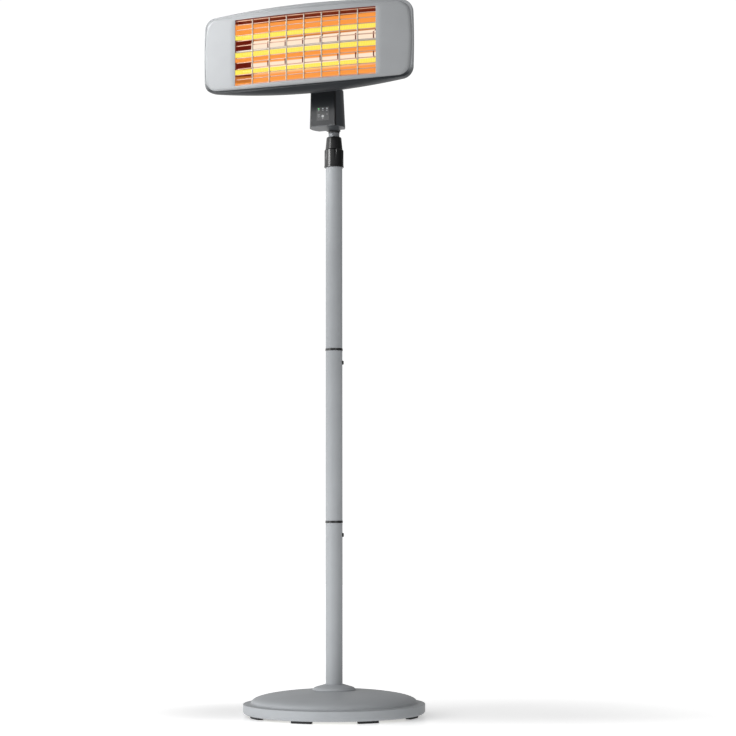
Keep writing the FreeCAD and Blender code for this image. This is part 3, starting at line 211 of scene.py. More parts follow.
def finish(name, shade, rough, metallic=0.0, grain=1.0, depth=0.02, mottle=60.0, change=0.05,
           gloss_change=0.06, stretch=(1.0, 1.0, 1.0), **constants):
    """A solid finish: its colour shifts softly over mottle mm, its gloss and its bump over grain mm.

    Depth is in millimetres too. Stretch squeezes the grain along an axis, as on drawn or brushed metal.
    """
    material, tree = bare_material(name)
    place = node(tree, "ShaderNodeTexCoord").outputs["Object"]
    squeezed = node(tree, "ShaderNodeMapping", {"Scale": stretch}, {"Vector": place}).outputs["Vector"]
    fine = node(tree, "ShaderNodeTexNoise", {"Scale": 1 / (grain * MM), "Detail": 3.0},
                {"Vector": squeezed}).outputs["Fac"]
    broad = node(tree, "ShaderNodeTexNoise", {"Scale": 1 / (mottle * MM), "Detail": 2.0},
                 {"Vector": place}).outputs["Fac"]
    dark = [part * (1 - change) for part in shade]
    light = [min(part * (1 + change), 1.0) for part in shade]
    tint = node(tree, "ShaderNodeValToRGB", {"stops": [(0.3, dark), (0.7, light)]}, {"Fac": broad})
    gloss = node(tree, "ShaderNodeMapRange",
                 {"To Min": max(rough - gloss_change, 0.02), "To Max": min(rough + gloss_change, 1.0)},
                 {"Value": fine})
    bump = node(tree, "ShaderNodeBump", {"Strength": 0.6, "Distance": depth * MM}, {"Height": fine})
    shader = node(tree, "ShaderNodeBsdfPrincipled", {"Metallic": metallic, **constants},
                  {"Base Color": tint.outputs["Color"], "Roughness": gloss.outputs["Result"],
                   "Normal": bump.outputs["Normal"]})
    node(tree, "ShaderNodeOutputMaterial", None, {"Surface": shader.outputs["BSDF"]})
    return material


def coat_parts(material):
    """A finish's node tree, its shader and its Object coordinates."""
    tree = material.node_tree
    shader = next(part for part in tree.nodes if part.type == "BSDF_PRINCIPLED")
    return tree, shader, node(tree, "ShaderNodeTexCoord").outputs["Object"]


def overlay(tree, shader, share, shade):
    """Lays a second colour over a finish's own by a share from 0 to 1."""
    mixed = node(tree, "ShaderNodeMix", {"data_type": "RGBA", 7: (*shade, 1.0)},
                 {0: share, 6: shader.inputs["Base Color"].links[0].from_socket})
    tree.links.new(mixed.outputs[2], shader.inputs["Base Color"])


def dress(material, *names):
    """Gives CAD nodes a material in place of their plain ones."""
    for name in names:
        slots = NODES[name].data.materials
        slots.clear()
        slots.append(material)


def piece(name, points, faces, material, body, replaced=(), smooth=35.0):
    """A mesh piece from points in millimetres and faces, smooth up to an angle, on a body and in a slot."""
    mesh = bpy.data.meshes.new(name)
    mesh.from_pydata((np.asarray(points) * MM).tolist(), [],
                     faces if isinstance(faces, list) else faces.tolist())
    mesh.materials.append(material)
    mesh.polygons.foreach_set("use_smooth", np.ones(len(mesh.polygons), dtype=bool))
    mesh.set_sharp_from_angle(angle=math.radians(smooth))
    mesh.update()
    made = bpy.data.objects.new(name, mesh)
    bpy.context.scene.collection.objects.link(made)
    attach(made, body)
    if replaced:
        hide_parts(*replaced)


def grid_faces(rows, columns, close_rows=False):
    """Four-sided faces of a grid whose points run row by row, each row a closed ring, the rows closed or not."""
    row = np.arange(rows if close_rows else rows - 1)[:, None]
    column = np.arange(columns)[None, :]
    next_row = (row + 1) % rows
    next_column = (column + 1) % columns
    corners = np.broadcast_arrays(row * columns + column, row * columns + next_column,
                                  next_row * columns + next_column, next_row * columns + column)
    return np.stack(corners, axis=-1).reshape(-1, 4)


def arc(start, middle, end, count):
    """Points of the circle through three points of a profile, from the first to the last.

    The circle's middle is the point that lies as far from each of the three.
    """
    (ax, ay), (bx, by), (cx, cy) = start, middle, end
    a, b, c = ax * ax + ay * ay, bx * bx + by * by, cx * cx + cy * cy
    twice = 2 * (ax * (by - cy) + bx * (cy - ay) + cx * (ay - by))
    ux = (a * (by - cy) + b * (cy - ay) + c * (ay - by)) / twice
    uy = (a * (cx - bx) + b * (ax - cx) + c * (bx - ax)) / twice
    angles = np.unwrap([math.atan2(y - uy, x - ux) for x, y in (start, middle, end)])
    sweep = np.linspace(angles[0], angles[2], count)
    radius = math.hypot(ax - ux, ay - uy)
    return np.column_stack([ux + radius * np.cos(sweep), uy + radius * np.sin(sweep)])


def turned(profile, around):
    """A closed profile of (radius, height) carried round the Z axis: x = r cos a, y = r sin a, z = height."""
    profile = np.asarray(profile)
    angle = np.linspace(0, FULL_TURN, around, endpoint=False)
    x = profile[:, :1] * np.cos(angle)
    y = profile[:, :1] * np.sin(angle)
    z = np.broadcast_to(profile[:, 1:], x.shape)
    points = np.stack([x, y, z], axis=-1).reshape(-1, 3)
    return points, grid_faces(len(profile), around, close_rows=True)


def bowed_outline(inset):
    """Points (x, z) round the bezel's edge, drawn in by an inset: four bowed sides and round corners.

    The upper side is a circle through its crown that falls by a rise at the ends, the sides bow alike, and
    each corner is the circle inside both: its centre lies at (radius - corner) from the two bows' centres.
    """
    rise, side_rise, corner, count = 5.0, 8.0, 28.0 - inset, 60
    width = BEZEL_HIGH.x / MM - inset
    height = (BEZEL_HIGH.z - BEZEL_LOW.z) / 2 / MM - inset
    top_radius = (width ** 2 + rise ** 2) / (2 * rise)
    side_radius = (height ** 2 + side_rise ** 2) / (2 * side_rise)
    top, side = np.array([0.0, height - top_radius]), np.array([width - side_radius, 0.0])
    near, far = top_radius - corner, side_radius - corner
    gap = side - top
    length = np.linalg.norm(gap)
    along = (near ** 2 - far ** 2 + length ** 2) / (2 * length)
    across = math.sqrt(near ** 2 - along ** 2) * np.array([-gap[1], gap[0]]) / length
    foot = top + gap / length * along
    centre = max(foot + across, foot - across, key=sum)
    first = math.atan2(*(centre - top)[::-1])
    last = math.atan2(*(centre - side)[::-1])
    bows = [(top, top_radius, np.linspace(math.pi / 2, first, count)),
            (centre, corner, np.linspace(first, last, count)),
            (side, side_radius, np.linspace(last, 0.0, count))]
    quarter = np.vstack([hub + reach * np.column_stack([np.cos(turn), np.sin(turn)])[:-1]
                         for hub, reach, turn in bows] + [[[width, 0.0]]])
    return np.vstack([quarter, (quarter * (1, -1))[-2::-1], (quarter * (-1, -1))[1:],
                      (quarter * (-1, 1))[-2:0:-1]])


def lay_wires(starts, steps, radius, around):
    """Round wires along paths: each path point carries a ring at right angles to the path.

    starts has shape (wires, points, 3) and steps the path's unit directions; the ring's two axes are the
    direction's cross products with a fixed side vector.
    """
    side = np.where(np.abs(steps[..., 2:3]) > 0.7, np.array([1.0, 0.0, 0.0]), np.array([0.0, 0.0, 1.0]))
    first = np.cross(steps, side)
    first = first / np.linalg.norm(first, axis=-1, keepdims=True)
    second = np.cross(steps, first)
    angle = np.linspace(0, FULL_TURN, around, endpoint=False)[:, None]
    rings = (starts[:, :, None, :] + radius * (first[:, :, None, :] * np.cos(angle)
                                               + second[:, :, None, :] * np.sin(angle)))
    wires, count = starts.shape[:2]
    one = grid_faces(count, around)
    ends = np.arange(around)[None, :]
    offsets = np.arange(wires)[:, None, None] * count * around
    caps = np.concatenate([ends[:, ::-1], ends + (count - 1) * around])
    faces = (one[None] + offsets).reshape(-1, 4).tolist()
    faces += (caps[None] + offsets).reshape(-1, around).tolist()
    return rings.reshape(-1, 3), faces


def glow_ramp(tree, height, bands):
    """Colour of glowing bands, each given as its height over the middle tube in millimetres and its shade."""
    level = node(tree, "ShaderNodeMapRange",
                 fade((TUBE_MIDDLE - GLOW_REACH) * MM, (TUBE_MIDDLE + GLOW_REACH) * MM), {"Value": height})
    stops = [((GLOW_REACH + rise) / (2 * GLOW_REACH), shade) for rise, shade in bands]
    return node(tree, "ShaderNodeValToRGB", {"stops": stops},
                {"Fac": level.outputs["Result"]}).outputs["Color"]


def glow_shades(tones):
    """The glow's dark, rust and deep shades; rust lies halfway between the other two."""
    dark, deep = tuple(tones.dark_glow), tuple(tones.deep_glow)
    return dark, tuple((first + second) / 2 for first, second in zip(dark, deep)), deep


def wall_glow(tree, axes, tones):
    """Colour and tube mask of the walls round the tubes, read along the sight line of an eye below the head.

    Heights are z + slope (front - tube front), so that the walls' bands run on from the tubes' own. The bands are
    painted reflections of the tubes' glow, with painted shade between.
    """
    slope, blur = 0.24, 0.3
    dark, rust, deep = glow_shades(tones)
    bands = [(-66, deep), (-63, rust), (-52, rust), (-48, dark), (-18, dark), (-16, deep), (-7, deep),
             (-5, dark), (36, dark), (40, deep), (69, deep), (71, dark)]
    sunk = node(tree, "ShaderNodeMath", {"operation": "MULTIPLY_ADD", 1: -slope, 2: -slope * TUBE_FRONT * MM},
                {0: axes.outputs["Y"]})
    sight = node(tree, "ShaderNodeMath", {"operation": "ADD"},
                 {0: axes.outputs["Z"], 1: sunk.outputs["Value"]}).outputs["Value"]
    # The mask is 1 within a tube's radius of the three tubes' heights
    off = node(tree, "ShaderNodeMath", {"operation": "SUBTRACT", 1: TUBE_MIDDLE * MM},
               {0: sight}).outputs["Value"]
    near = node(tree, "ShaderNodeMath", {"operation": "PINGPONG", 1: TUBE_PITCH / 2 * MM}, {0: off})
    ring = node(tree, "ShaderNodeMapRange",
                fade((TUBE_RADIUS - blur) * MM, (TUBE_RADIUS + blur) * MM, 1.0, 0.0),
                {"Value": near.outputs["Value"]})
    inside = node(tree, "ShaderNodeMath", {"operation": "COMPARE", 1: 0.0, 2: 1.4 * TUBE_PITCH * MM}, {0: off})
    spot = node(tree, "ShaderNodeMath", {"operation": "MULTIPLY"},
                {0: ring.outputs["Result"], 1: inside.outputs["Value"]})
    return glow_ramp(tree, sight, bands), spot.outputs["Value"]


class HEATER_OT_paint(bpy.types.Operator):
    """Silver powder coat on base, pole and bezel, the rear housing darker towards its bottom, a dark coat on the
    bracket.
    """
    bl_idname = "heater.paint"
    bl_label = "Painted steel"

    def execute(self, context):
        tones = context.scene.heater_colours
        peel = context.scene.heater_sizes.peel / MM
        # Silver powder coat, sprayed and baked: satin, with a faint orange peel that breaks up highlights
        satin = {"grain": peel, "depth": 0.02, "change": 0.03, "Specular IOR Level": 0.15}
        silver = finish("powder_coated_steel", tones.paint, 0.42, **satin)
        dress(silver, "pole_cap", "lower_tube", "middle_tube", "upper_tube", "base_cover")
        coat = finish("powder_coated_bezel", tones.bezel, 0.42, **satin)
        # Painted shade and painted glow on the opening's inner walls
        self.paint_opening_walls(coat, tones)
        dress(coat, "front_bezel")
        # Heat-proof coat on pressed sheet, darker towards its bottom and silver above: satin, so its edges pick
        # up the bright surroundings
        dark = finish("heat_proof_coated_sheet", tones.housing, 0.4, **{**satin, "change": 0.06})
        self.darken_towards_bottom(dark, tones)
        dress(dark, "rear_housing")
        self.skin(coat, dark)
        # Black powder coat on bent sheet: satin, a little rougher where it is thick
        bracket = finish("black_coated_bracket", tones.plastic, 0.4, grain=peel, depth=0.03, change=0.08)
        dress(bracket, "tilt_bracket", "head_lugs")
        return {"FINISHED"}

    def darken_towards_bottom(self, material, tones):
        """The housing's colour goes from the dark tone towards its bottom to silver above."""
        fade_low, fade_high = TUBE_MIDDLE - 82.0, TUBE_MIDDLE - 56.0
        tree, shader, place = coat_parts(material)
        axes = node(tree, "ShaderNodeSeparateXYZ", None, {"Vector": place})
        upper = node(tree, "ShaderNodeMapRange",
                     {"interpolation_type": "SMOOTHSTEP", **fade(fade_low * MM, fade_high * MM)},
                     {"Value": axes.outputs["Z"]})
        overlay(tree, shader, upper.outputs["Result"], tones.bezel)

    def skin(self, coat, dark):
        """Bezel with a rolled edge, and the flange behind it that meets the housing's front edge.

        Both are rings of points at even angles: from the opening's rectangle, a cos / max(|cos|, |sin|),
        outwards to the bowed outline. A ring lies on the drum, y = R - sqrt(R^2 - x^2) - front, set back by
        its depth; the roll's inset and depth follow a quarter of an ellipse.
        """
        turn = np.linspace(0, FULL_TURN, 480, endpoint=False)
        width, height = BEZEL_HIGH.x / MM, BEZEL_HIGH.z / MM - BEZEL_MIDDLE

        def bowed(inset):
            x, z = bowed_outline(inset).T
            place = np.arctan2(z / height, x / width)
            return np.stack([np.interp(turn, place, side, period=FULL_TURN) for side in (x, z)])

        def rectangle(grow):
            reach = 1 / np.maximum(np.abs(np.cos(turn)), np.abs(np.sin(turn)))
            wide, tall = OPENING_HALF + grow, (OPENING_HIGH - OPENING_LOW) / 2 + grow
            middle = (OPENING_HIGH + OPENING_LOW) / 2 - BEZEL_MIDDLE
            return np.stack([wide * np.cos(turn) * reach, middle + tall * np.sin(turn) * reach])

        def ring(flat, depth):
            x, z = flat
            drum = FACE_RADIUS - np.sqrt(FACE_RADIUS ** 2 - x ** 2)
            return np.column_stack([x, drum - FACE_FRONT + depth, BEZEL_MIDDLE + z])

        def carry(name, rings, material, replaced, smooth):
            faces = grid_faces(len(rings), len(turn), close_rows=True)[:, ::-1]
            piece(name, np.vstack(rings), faces, material, "head", replaced, smooth)

        roll, fall, thick, back = 7.0, 4.6, 2.5, 11.0
        soft, softer = 0.8, 0.25
        inner_face = thick + 1.0
        lip, rolled = rectangle(soft), bowed(roll)
        # From the opening's inner wall over its softened edge and the flat face to the roll, and back behind
        rings = [ring(rectangle(0.0), back), ring(rectangle(0.0), soft), ring(rectangle(softer), softer),
                 ring(lip, 0.0)]
        rings += [ring(lip + (rolled - lip) * share, 0.0) for share in (0.2, 0.4, 0.6, 0.8)]
        rings += [ring(bowed(roll * (1 - math.sin(bend))), fall * (1 - math.cos(bend)))
                  for bend in np.linspace(0, math.pi / 2, 11)]
        rings += [ring(bowed(0.0), back), ring(bowed(thick), back), ring(bowed(thick + roll), inner_face),
                  ring(rectangle(thick), inner_face), ring(rectangle(thick), back)]
        carry("front_bezel_skin", rings, coat, ["front_bezel"], 50.0)
        # The flange's section: front and back at the bezel's edge, and just inside the housing's edge
        edge, inner = self.housing_edge(turn, width, height), bowed(0.6)
        rings = [ring(inner, 4.4), ring(edge * 0.998, 3.5), ring(edge * 0.995, 6.0), ring(inner, 7.0)]
        carry("bezel_flange", rings, dark, (), 30.0)

    def housing_edge(self, turn, width, height):
        """The housing's front edge at given angles: its mesh's farthest points on the drum behind the bezel."""
        setback, slack, aside, ahead = 3.3, 0.3, math.radians(1.2), 1.0
        housing = NODES["rear_housing"]
        spots = np.empty(3 * len(housing.data.vertices))
        housing.data.vertices.foreach_get("co", spots)
        spots = spots.reshape(-1, 3) @ np.array(housing.matrix_world.to_3x3()).T
        x, y, z = (spots + np.array(housing.matrix_world.translation)).T / MM
        depth = y + FACE_FRONT - FACE_RADIUS + np.sqrt(FACE_RADIUS ** 2 - x ** 2)
        front = np.abs(depth - setback) < slack
        x, z = x[front] / width, (z[front] - BEZEL_MIDDLE) / height
        place, far = np.arctan2(z, x), np.hypot(x, z)
        # A point is left out where a neighbour at nearly its angle lies farther out
        apart = np.abs((place[:, None] - place[None, :] + math.pi) % FULL_TURN - math.pi)
        scale = np.hypot(width * np.cos(place), height * np.sin(place))[:, None]
        outer = ~np.any((apart < aside) & ((far[None, :] - far[:, None]) * scale > ahead), axis=1)
        loop = np.column_stack([x, z])[outer][np.argsort(place[outer])]
        share = np.linspace(0, 1, 20, endpoint=False)[None, :, None]
        x, z = (loop[:, None] + (np.roll(loop, -1, axis=0) - loop)[:, None] * share).reshape(-1, 2).T
        reach = np.interp(turn, np.arctan2(z, x), np.hypot(x, z), period=FULL_TURN)
        return np.stack([width * np.cos(turn) * reach, height * np.sin(turn) * reach])

    def paint_opening_walls(self, material, tones):
        """The opening's inner walls get painted shade, dark brown, and a painted reflection of the tubes' glow
        given out as emission.
        """
        start, full = 0.8 - FACE_FRONT, 1.4 - FACE_FRONT
        half_width, half_height = OPENING_HALF + 4.0, 79.0
        tree, shader, place = coat_parts(material)
        axes = node(tree, "ShaderNodeSeparateXYZ", None, {"Vector": place})
        # How far a point lies behind the face: y - x^2 / (2 R) - front
        square = node(tree, "ShaderNodeMath", {"operation": "POWER", 1: 2.0}, {0: axes.outputs["X"]})
        bow = node(tree, "ShaderNodeMath", {"operation": "MULTIPLY", 1: 1 / (2 * FACE_RADIUS * MM)},
                   {0: square.outputs["Value"]})
        deep = node(tree, "ShaderNodeMath", {"operation": "SUBTRACT"},
                    {0: axes.outputs["Y"], 1: bow.outputs["Value"]})
        behind = node(tree, "ShaderNodeMapRange", fade(start * MM, full * MM), {"Value": deep.outputs["Value"]})
        inside = node(tree, "ShaderNodeMath", {"operation": "COMPARE", 1: 0.0, 2: half_width * MM},
                      {0: axes.outputs["X"]})
        within = node(tree, "ShaderNodeMath", {"operation": "COMPARE", 1: TUBE_MIDDLE * MM, 2: half_height * MM},
                      {0: axes.outputs["Z"]})
        both = node(tree, "ShaderNodeMath", {"operation": "MULTIPLY"},
                    {0: within.outputs["Value"], 1: inside.outputs["Value"]})
        painted_wall_shade = node(tree, "ShaderNodeMath", {"operation": "MULTIPLY"},
                        {0: behind.outputs["Result"], 1: both.outputs["Value"]}).outputs["Value"]
        # Painted shade: the opening's inner walls darkened to dark brown
        overlay(tree, shader, painted_wall_shade, linear("2a0d08"))
        # Painted reflection of the tubes' glow on the same walls, given out as emission
        shaded, spot = wall_glow(tree, axes, tones)
        lit = node(tree, "ShaderNodeMix", {"data_type": "RGBA", 7: (*tones.tube_glow, 1.0)},
                   {0: spot, 6: shaded})
        tree.links.new(lit.outputs[2], shader.inputs["Emission Color"])
        tree.links.new(painted_wall_shade, shader.inputs["Emission Strength"])


class HEATER_OT_plastic(bpy.types.Operator):
    """Moulded plastics: couplers, collar, buttons, control box, panel and the parts inside."""
    bl_idname = "heater.plastic"
    bl_label = "Moulded plastics"

    def execute(self, context):
        tones = context.scene.heater_colours
        # Black polyamide moulded in a spark-eroded tool: fine even texture, dull sheen
        black = finish("moulded_black_polyamide", tones.plastic, 0.24, grain=0.6, depth=0.02, change=0.08,
                       **{"Specular IOR Level": 0.4})
        dress(black, "lower_coupler", "upper_coupler", "lower_snap_button", "upper_snap_button", "clamp_base",
              "clamp_collet", "clamp_collar", "glide_plug", "cable_gland", "gland_nut")
        # Dark ring round the mast just under the box: a thin ring with a softened lower edge
        low, high = BOX_LOW - 4.5, BOX_LOW
        bore, wall, soft = MAST_RADIUS + 0.05, 0.4, 0.3
        ring = [(bore, low), (bore + wall / 2, low), (bore + wall, low + soft), (bore + wall, high), (bore, high)]
        points, faces = turned(ring, around=72)
        piece("mast_dark_ring", points, faces, black, "mast")
        # Black ABS of the control box, finer texture and a little more sheen
        box = finish("moulded_black_abs", tones.box, 0.36, grain=0.5, depth=0.02, change=0.06,
                     **{"Specular IOR Level": 0.4})
        self.dark_margin(box)
        dress(box, "box_front_shell", "box_rear_shell")
        # Glossy acrylic panel, polished: clear reflections with slight moulding waves
        panel = finish("polished_acrylic_panel", tones.panel, 0.16, grain=9.0, depth=0.01, change=0.05,
                       gloss_change=0.03)
        dress(panel, "control_panel")
        # Polyester film, printed from behind: flat, with a dull even sheen
        film = finish("printed_polyester_film", tones.film, 0.32, grain=0.4, depth=0.01, change=0.04)
        dress(film, "key_film")
        # Pale grey ABS key, moulded with a fine satin texture
        key = finish("moulded_pale_grey_abs", linear("a8aaaa"), 0.4, grain=0.4, depth=0.01, change=0.03)
        dress(key, "power_key")
        # Filled polymer washers, stamped from sheet: dark and dry
        washer = finish("friction_washer_polymer", linear("2b2a28"), 0.5, grain=0.5)
        dress(washer, "tilt_washers")
        # Moulded cases of relays and switches: dark grey, slightly glossy
        relay = finish("moulded_black_component_case", linear("202224"), 0.38, grain=0.5)
        dress(relay, "key_switch", "heat_relays", "tip_switch")
        # Glass-fibre board: green solder mask over a woven laminate
        board = finish("solder_masked_laminate", linear("1f5a36"), 0.4, grain=1.2, depth=0.03, change=0.12)
        dress(board, "control_board")
        # Rubber pads: matt, slightly dusty
        rubber = finish("black_rubber", linear("191a1b"), 0.78, grain=0.8, depth=0.05, change=0.12)
        dress(rubber, "base_feet")
        return {"FINISHED"}

    def dark_margin(self, material):
        """The narrow margin beside the panel lies in its shade: darker in front where |x| is beyond the panel."""
        start, depth = PANEL_HALF - 0.5, 3.0
        tree, shader, place = coat_parts(material)
        axes = node(tree, "ShaderNodeSeparateXYZ", None, {"Vector": place})
        aside = node(tree, "ShaderNodeMath", {"operation": "ABSOLUTE"}, {0: axes.outputs["X"]})
        beyond = node(tree, "ShaderNodeMath", {"operation": "GREATER_THAN", 1: start * MM},
                      {0: aside.outputs["Value"]})
        fore = node(tree, "ShaderNodeMath", {"operation": "LESS_THAN", 1: (depth - PANEL_FRONT) * MM},
                    {0: axes.outputs["Y"]})
        both = node(tree, "ShaderNodeMath", {"operation": "MULTIPLY"},
                    {0: beyond.outputs["Value"], 1: fore.outputs["Value"]})
        overlay(tree, shader, both.outputs["Value"], linear("0a0b0c"))


class HEATER_OT_metal(bpy.types.Operator):
    """Bare and plated metals: mast, screws, sheet parts and the cast weight, and the ceramics beside them."""
    bl_idname = "heater.metal"
    bl_label = "Bare metals"

    def execute(self, context):
        tones = context.scene.heater_colours
        # Drawn steel tube, zinc plated: fine lines along the tube, soft grey gloss
        mast = finish("drawn_zinc_plated_tube", tones.mast, 0.4, metallic=0.3, grain=0.8, depth=0.01,
                      stretch=(1.0, 1.0, 0.02))
        dress(mast, "mast_tube")
        # Bright zinc on pressed and cut steel: pale grey, a little cloudy
        zinc = finish("zinc_plated_steel", linear("b3b2ab"), 0.34, metallic=1.0, grain=0.5, depth=0.02,
                      change=0.1)
        dress(zinc, "base_plate", "base_screws", "pole_socket", "tie_bolt", "tie_nut", "lower_button_spring",
              "upper_button_spring", "box_screws", "neck_screw", "tilt_bolt", "tilt_nut", "bracket_screws",
              "lug_screws", "case_screws", "tube_screws", "left_tube_bracket", "right_tube_bracket",
              "heat_shield")
        # Iron cast in sand: dark, dull and pitted
        iron = finish("sand_cast_iron", linear("4a4845"), 0.72, metallic=0.7, grain=1.8, depth=0.3, change=0.2)
        dress(iron, "base_weight")
        # Steatite: fired white ceramic with a dry, slightly yellow surface
        ceramic = finish("fired_steatite", linear("ded8ca"), 0.55, grain=0.7, depth=0.03, change=0.05)
        dress(ceramic, "end_caps", "head_terminals", "terminal_block")
        return {"FINISHED"}


class HEATER_OT_glow(bpy.types.Operator):
    """Glowing quartz tubes with their coils, and the reflector tray with their painted reflection."""
    bl_idname = "heater.glow"
    bl_label = "Glowing tubes and reflector"

    def execute(self, context):
        tones = context.scene.heater_colours
        self.tubes(tones, context.scene.heater_sizes.coil_pitch / MM)
        self.reflector(tones)
        return {"FINISHED"}

    def tubes(self, tones, pitch):
        """Quartz glass lit through by its coil: an even yellow glow with the coil's turns as faint bands.

        The three tubes are rings of one radius carried along straight level paths.
        """
        material, tree = bare_material("glowing_quartz_glass")
        place = node(tree, "ShaderNodeTexCoord").outputs["Object"]
        # A wave's bands repeat every 2 pi / (20 scale), so this scale gives one band to a turn of the coil
        turns = node(tree, "ShaderNodeTexWave", {"Scale": FULL_TURN / 20 / (pitch * MM), "Distortion": 0.4},
                     {"Vector": place})
        low = [part * share for part, share in zip(tones.tube_glow, (1.0, 0.86, 0.7))]
        shade = node(tree, "ShaderNodeValToRGB", {"stops": [(0.1, low), (0.9, tuple(tones.tube_glow))]},
                     {"Fac": turns.outputs["Fac"]})
        shader = node(tree, "ShaderNodeBsdfPrincipled",
                      {"Base Color": (0.02, 0.01, 0.0, 1.0), "Roughness": 0.12, "Emission Strength": 1.0},
                      {"Emission Color": shade.outputs["Color"]})
        node(tree, "ShaderNodeOutputMaterial", None, {"Surface": shader.outputs["BSDF"]})
        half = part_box("middle_quartz_tube")[1].x / MM
        run = np.linspace(-half, half, 3)
        paths = np.stack(np.broadcast_arrays(run[None, :], np.array(-TUBE_FRONT),
                                             np.array(TUBE_HEIGHTS)[:, None]), axis=-1)
        steps = np.broadcast_to(np.array([1.0, 0.0, 0.0]), paths.shape)
        points, faces = lay_wires(paths, steps, TUBE_RADIUS, 32)
        piece("quartz_tubes", points, faces, material, "head", TUBE_NAMES, 60.0)
        # Resistance wire wound hot and left oxidised: dull, and glowing orange in use
        coil = finish("glowing_resistance_wire", linear("ffb347"), 0.5, metallic=0.4, grain=0.5,
                      **{"Emission Color": (*linear("ffcf5a"), 1.0), "Emission Strength": 2.0})
        dress(coil, "heating_coils")

    def reflector(self, tones):
        """Polished aluminium with a painted reflection of the tubes: bands of orange and pale light by height
        given out as emission, and end walls in dark painted shade.
        """
        end_dark, end_clear = -145.5, -143.5
        wall_front, ridge_front = -147.0, -144.0
        end_wall, end_room = -153.0, -152.0
        line_shift, line_dark, line_clear, line_reach = 18.0, 1.0, 2.0, 36.0
        material, tree = bare_material("aluminium_with_painted_reflection")
        place = node(tree, "ShaderNodeTexCoord").outputs["Object"]
        axes = node(tree, "ShaderNodeSeparateXYZ", None, {"Vector": place})
        dark, rust, deep = glow_shades(tones)
        pale = tuple(tones.pale_glow)
        bands = [(-46, deep), (-33, pale), (-21, pale), (-19, deep), (-1, deep), (8, pale), (34, pale),
                 (35, rust), (36.5, rust), (38, deep), (69.5, deep), (70.5, dark)]
        glow = glow_ramp(tree, axes.outputs["Z"], bands)
        shaded, spot = wall_glow(tree, axes, tones)
        # The left end has the dark end wall's painted reflection where the ridges have the tubes'
        end = node(tree, "ShaderNodeMapRange", fade(end_dark * MM, end_clear * MM), {"Value": axes.outputs["X"]})
        lit = node(tree, "ShaderNodeMix", {"data_type": "RGBA"}, {0: end.outputs["Result"], 6: shaded, 7: glow})
        # Thin dark painted reflections of the upright wires, one to a column, within reach of the middle tube's
        # height
        half_column = GRILLE_HIGH.x / COLUMNS
        moved = node(tree, "ShaderNodeMath", {"operation": "ADD", 1: GRILLE_HIGH.x + line_shift * MM},
                     {0: axes.outputs["X"]})
        line = node(tree, "ShaderNodeMath", {"operation": "PINGPONG", 1: half_column},
                    {0: moved.outputs["Value"]})
        clear = node(tree, "ShaderNodeMapRange", fade(line_dark * MM, line_clear * MM),
                     {"Value": line.outputs["Value"]})
        ridges = node(tree, "ShaderNodeMath", {"operation": "COMPARE", 1: TUBE_MIDDLE * MM, 2: line_reach * MM},
                      {0: axes.outputs["Z"]})
        beyond = node(tree, "ShaderNodeMath", {"operation": "SUBTRACT", 0: 1.0}, {1: ridges.outputs["Value"]})
        clear = node(tree, "ShaderNodeMath", {"operation": "MAXIMUM"},
                     {0: clear.outputs["Result"], 1: beyond.outputs["Value"]})
        lined = node(tree, "ShaderNodeMix", {"data_type": "RGBA"},
                     {0: clear.outputs["Value"], 6: shaded, 7: lit.outputs[2]})
        # Walls that stand in front of the ridges stay dark red, in painted shade
        wall = node(tree, "ShaderNodeMapRange", fade(wall_front * MM, ridge_front * MM),
                    {"Value": axes.outputs["Y"]})
        side = node(tree, "ShaderNodeMapRange", fade(end_wall * MM, end_room * MM), {"Value": axes.outputs["X"]})
        walls = node(tree, "ShaderNodeMix", {"data_type": "RGBA", 7: (*dark, 1.0)},
                     {0: side.outputs["Result"], 6: shaded})
        mixed = node(tree, "ShaderNodeMix", {"data_type": "RGBA"},
                     {0: wall.outputs["Result"], 6: walls.outputs[2], 7: lined.outputs[2]})
        # Beside the holes of the end wall the tubes' own yellow is painted on as glow
        outside = node(tree, "ShaderNodeMath", {"operation": "SUBTRACT", 0: 1.0}, {1: side.outputs["Result"]})
        spot = node(tree, "ShaderNodeMath", {"operation": "MULTIPLY"}, {0: spot, 1: outside.outputs["Value"]})
        mixed = node(tree, "ShaderNodeMix", {"data_type": "RGBA", 7: (*tones.tube_glow, 1.0)},
                     {0: spot.outputs["Value"], 6: mixed.outputs[2]})
        # Rolling streaks along the tray, 0.6 mm across
        streaks = node(tree, "ShaderNodeMapping", {"Scale": (0.05, 1.0, 1.0)}, {"Vector": place})
        fine = node(tree, "ShaderNodeTexNoise", {"Scale": 1 / (0.6 * MM), "Detail": 2.0},
                    {"Vector": streaks.outputs["Vector"]})
        bump = node(tree, "ShaderNodeBump", {"Strength": 0.3, "Distance": 0.01 * MM},
                    {"Height": fine.outputs["Fac"]})
        shader = node(tree, "ShaderNodeBsdfPrincipled",
                      {"Base Color": (0.012, 0.006, 0.004, 1.0), "Roughness": 0.55, "Metallic": 0.5,
                       "Specular IOR Level": 0.1, "Emission Strength": 1.0},
                      {"Emission Color": mixed.outputs[2], "Normal": bump.outputs["Normal"]})
        node(tree, "ShaderNodeOutputMaterial", None, {"Surface": shader.outputs["BSDF"]})
        dress(material, "reflector")
        self.end_lips(material)

    def end_lips(self, material):
        """Folded end lips of the tray, two upright blocks that close the joint to the bezel's opening. They wear
        the reflector's painted glow where the joint would show its shade.
        """
        sides = OPENING_HALF + np.array([0.5, 1.1])
        depths = (-148.0, -167.0)
        heights = (OPENING_LOW + 1.0, OPENING_HIGH - 3.0)
        corners = np.array([(deep, tall) for deep in depths for tall in heights])[[0, 1, 3, 2]]
        blocks = [np.column_stack([np.full(4, hand * side), corners]) for hand in (-1, 1) for side in sides]
        faces = np.concatenate([BLOCK_FACES, BLOCK_FACES[:, ::-1] + 8])
        piece("reflector_end_lips", np.vstack(blocks), faces, material, "head")


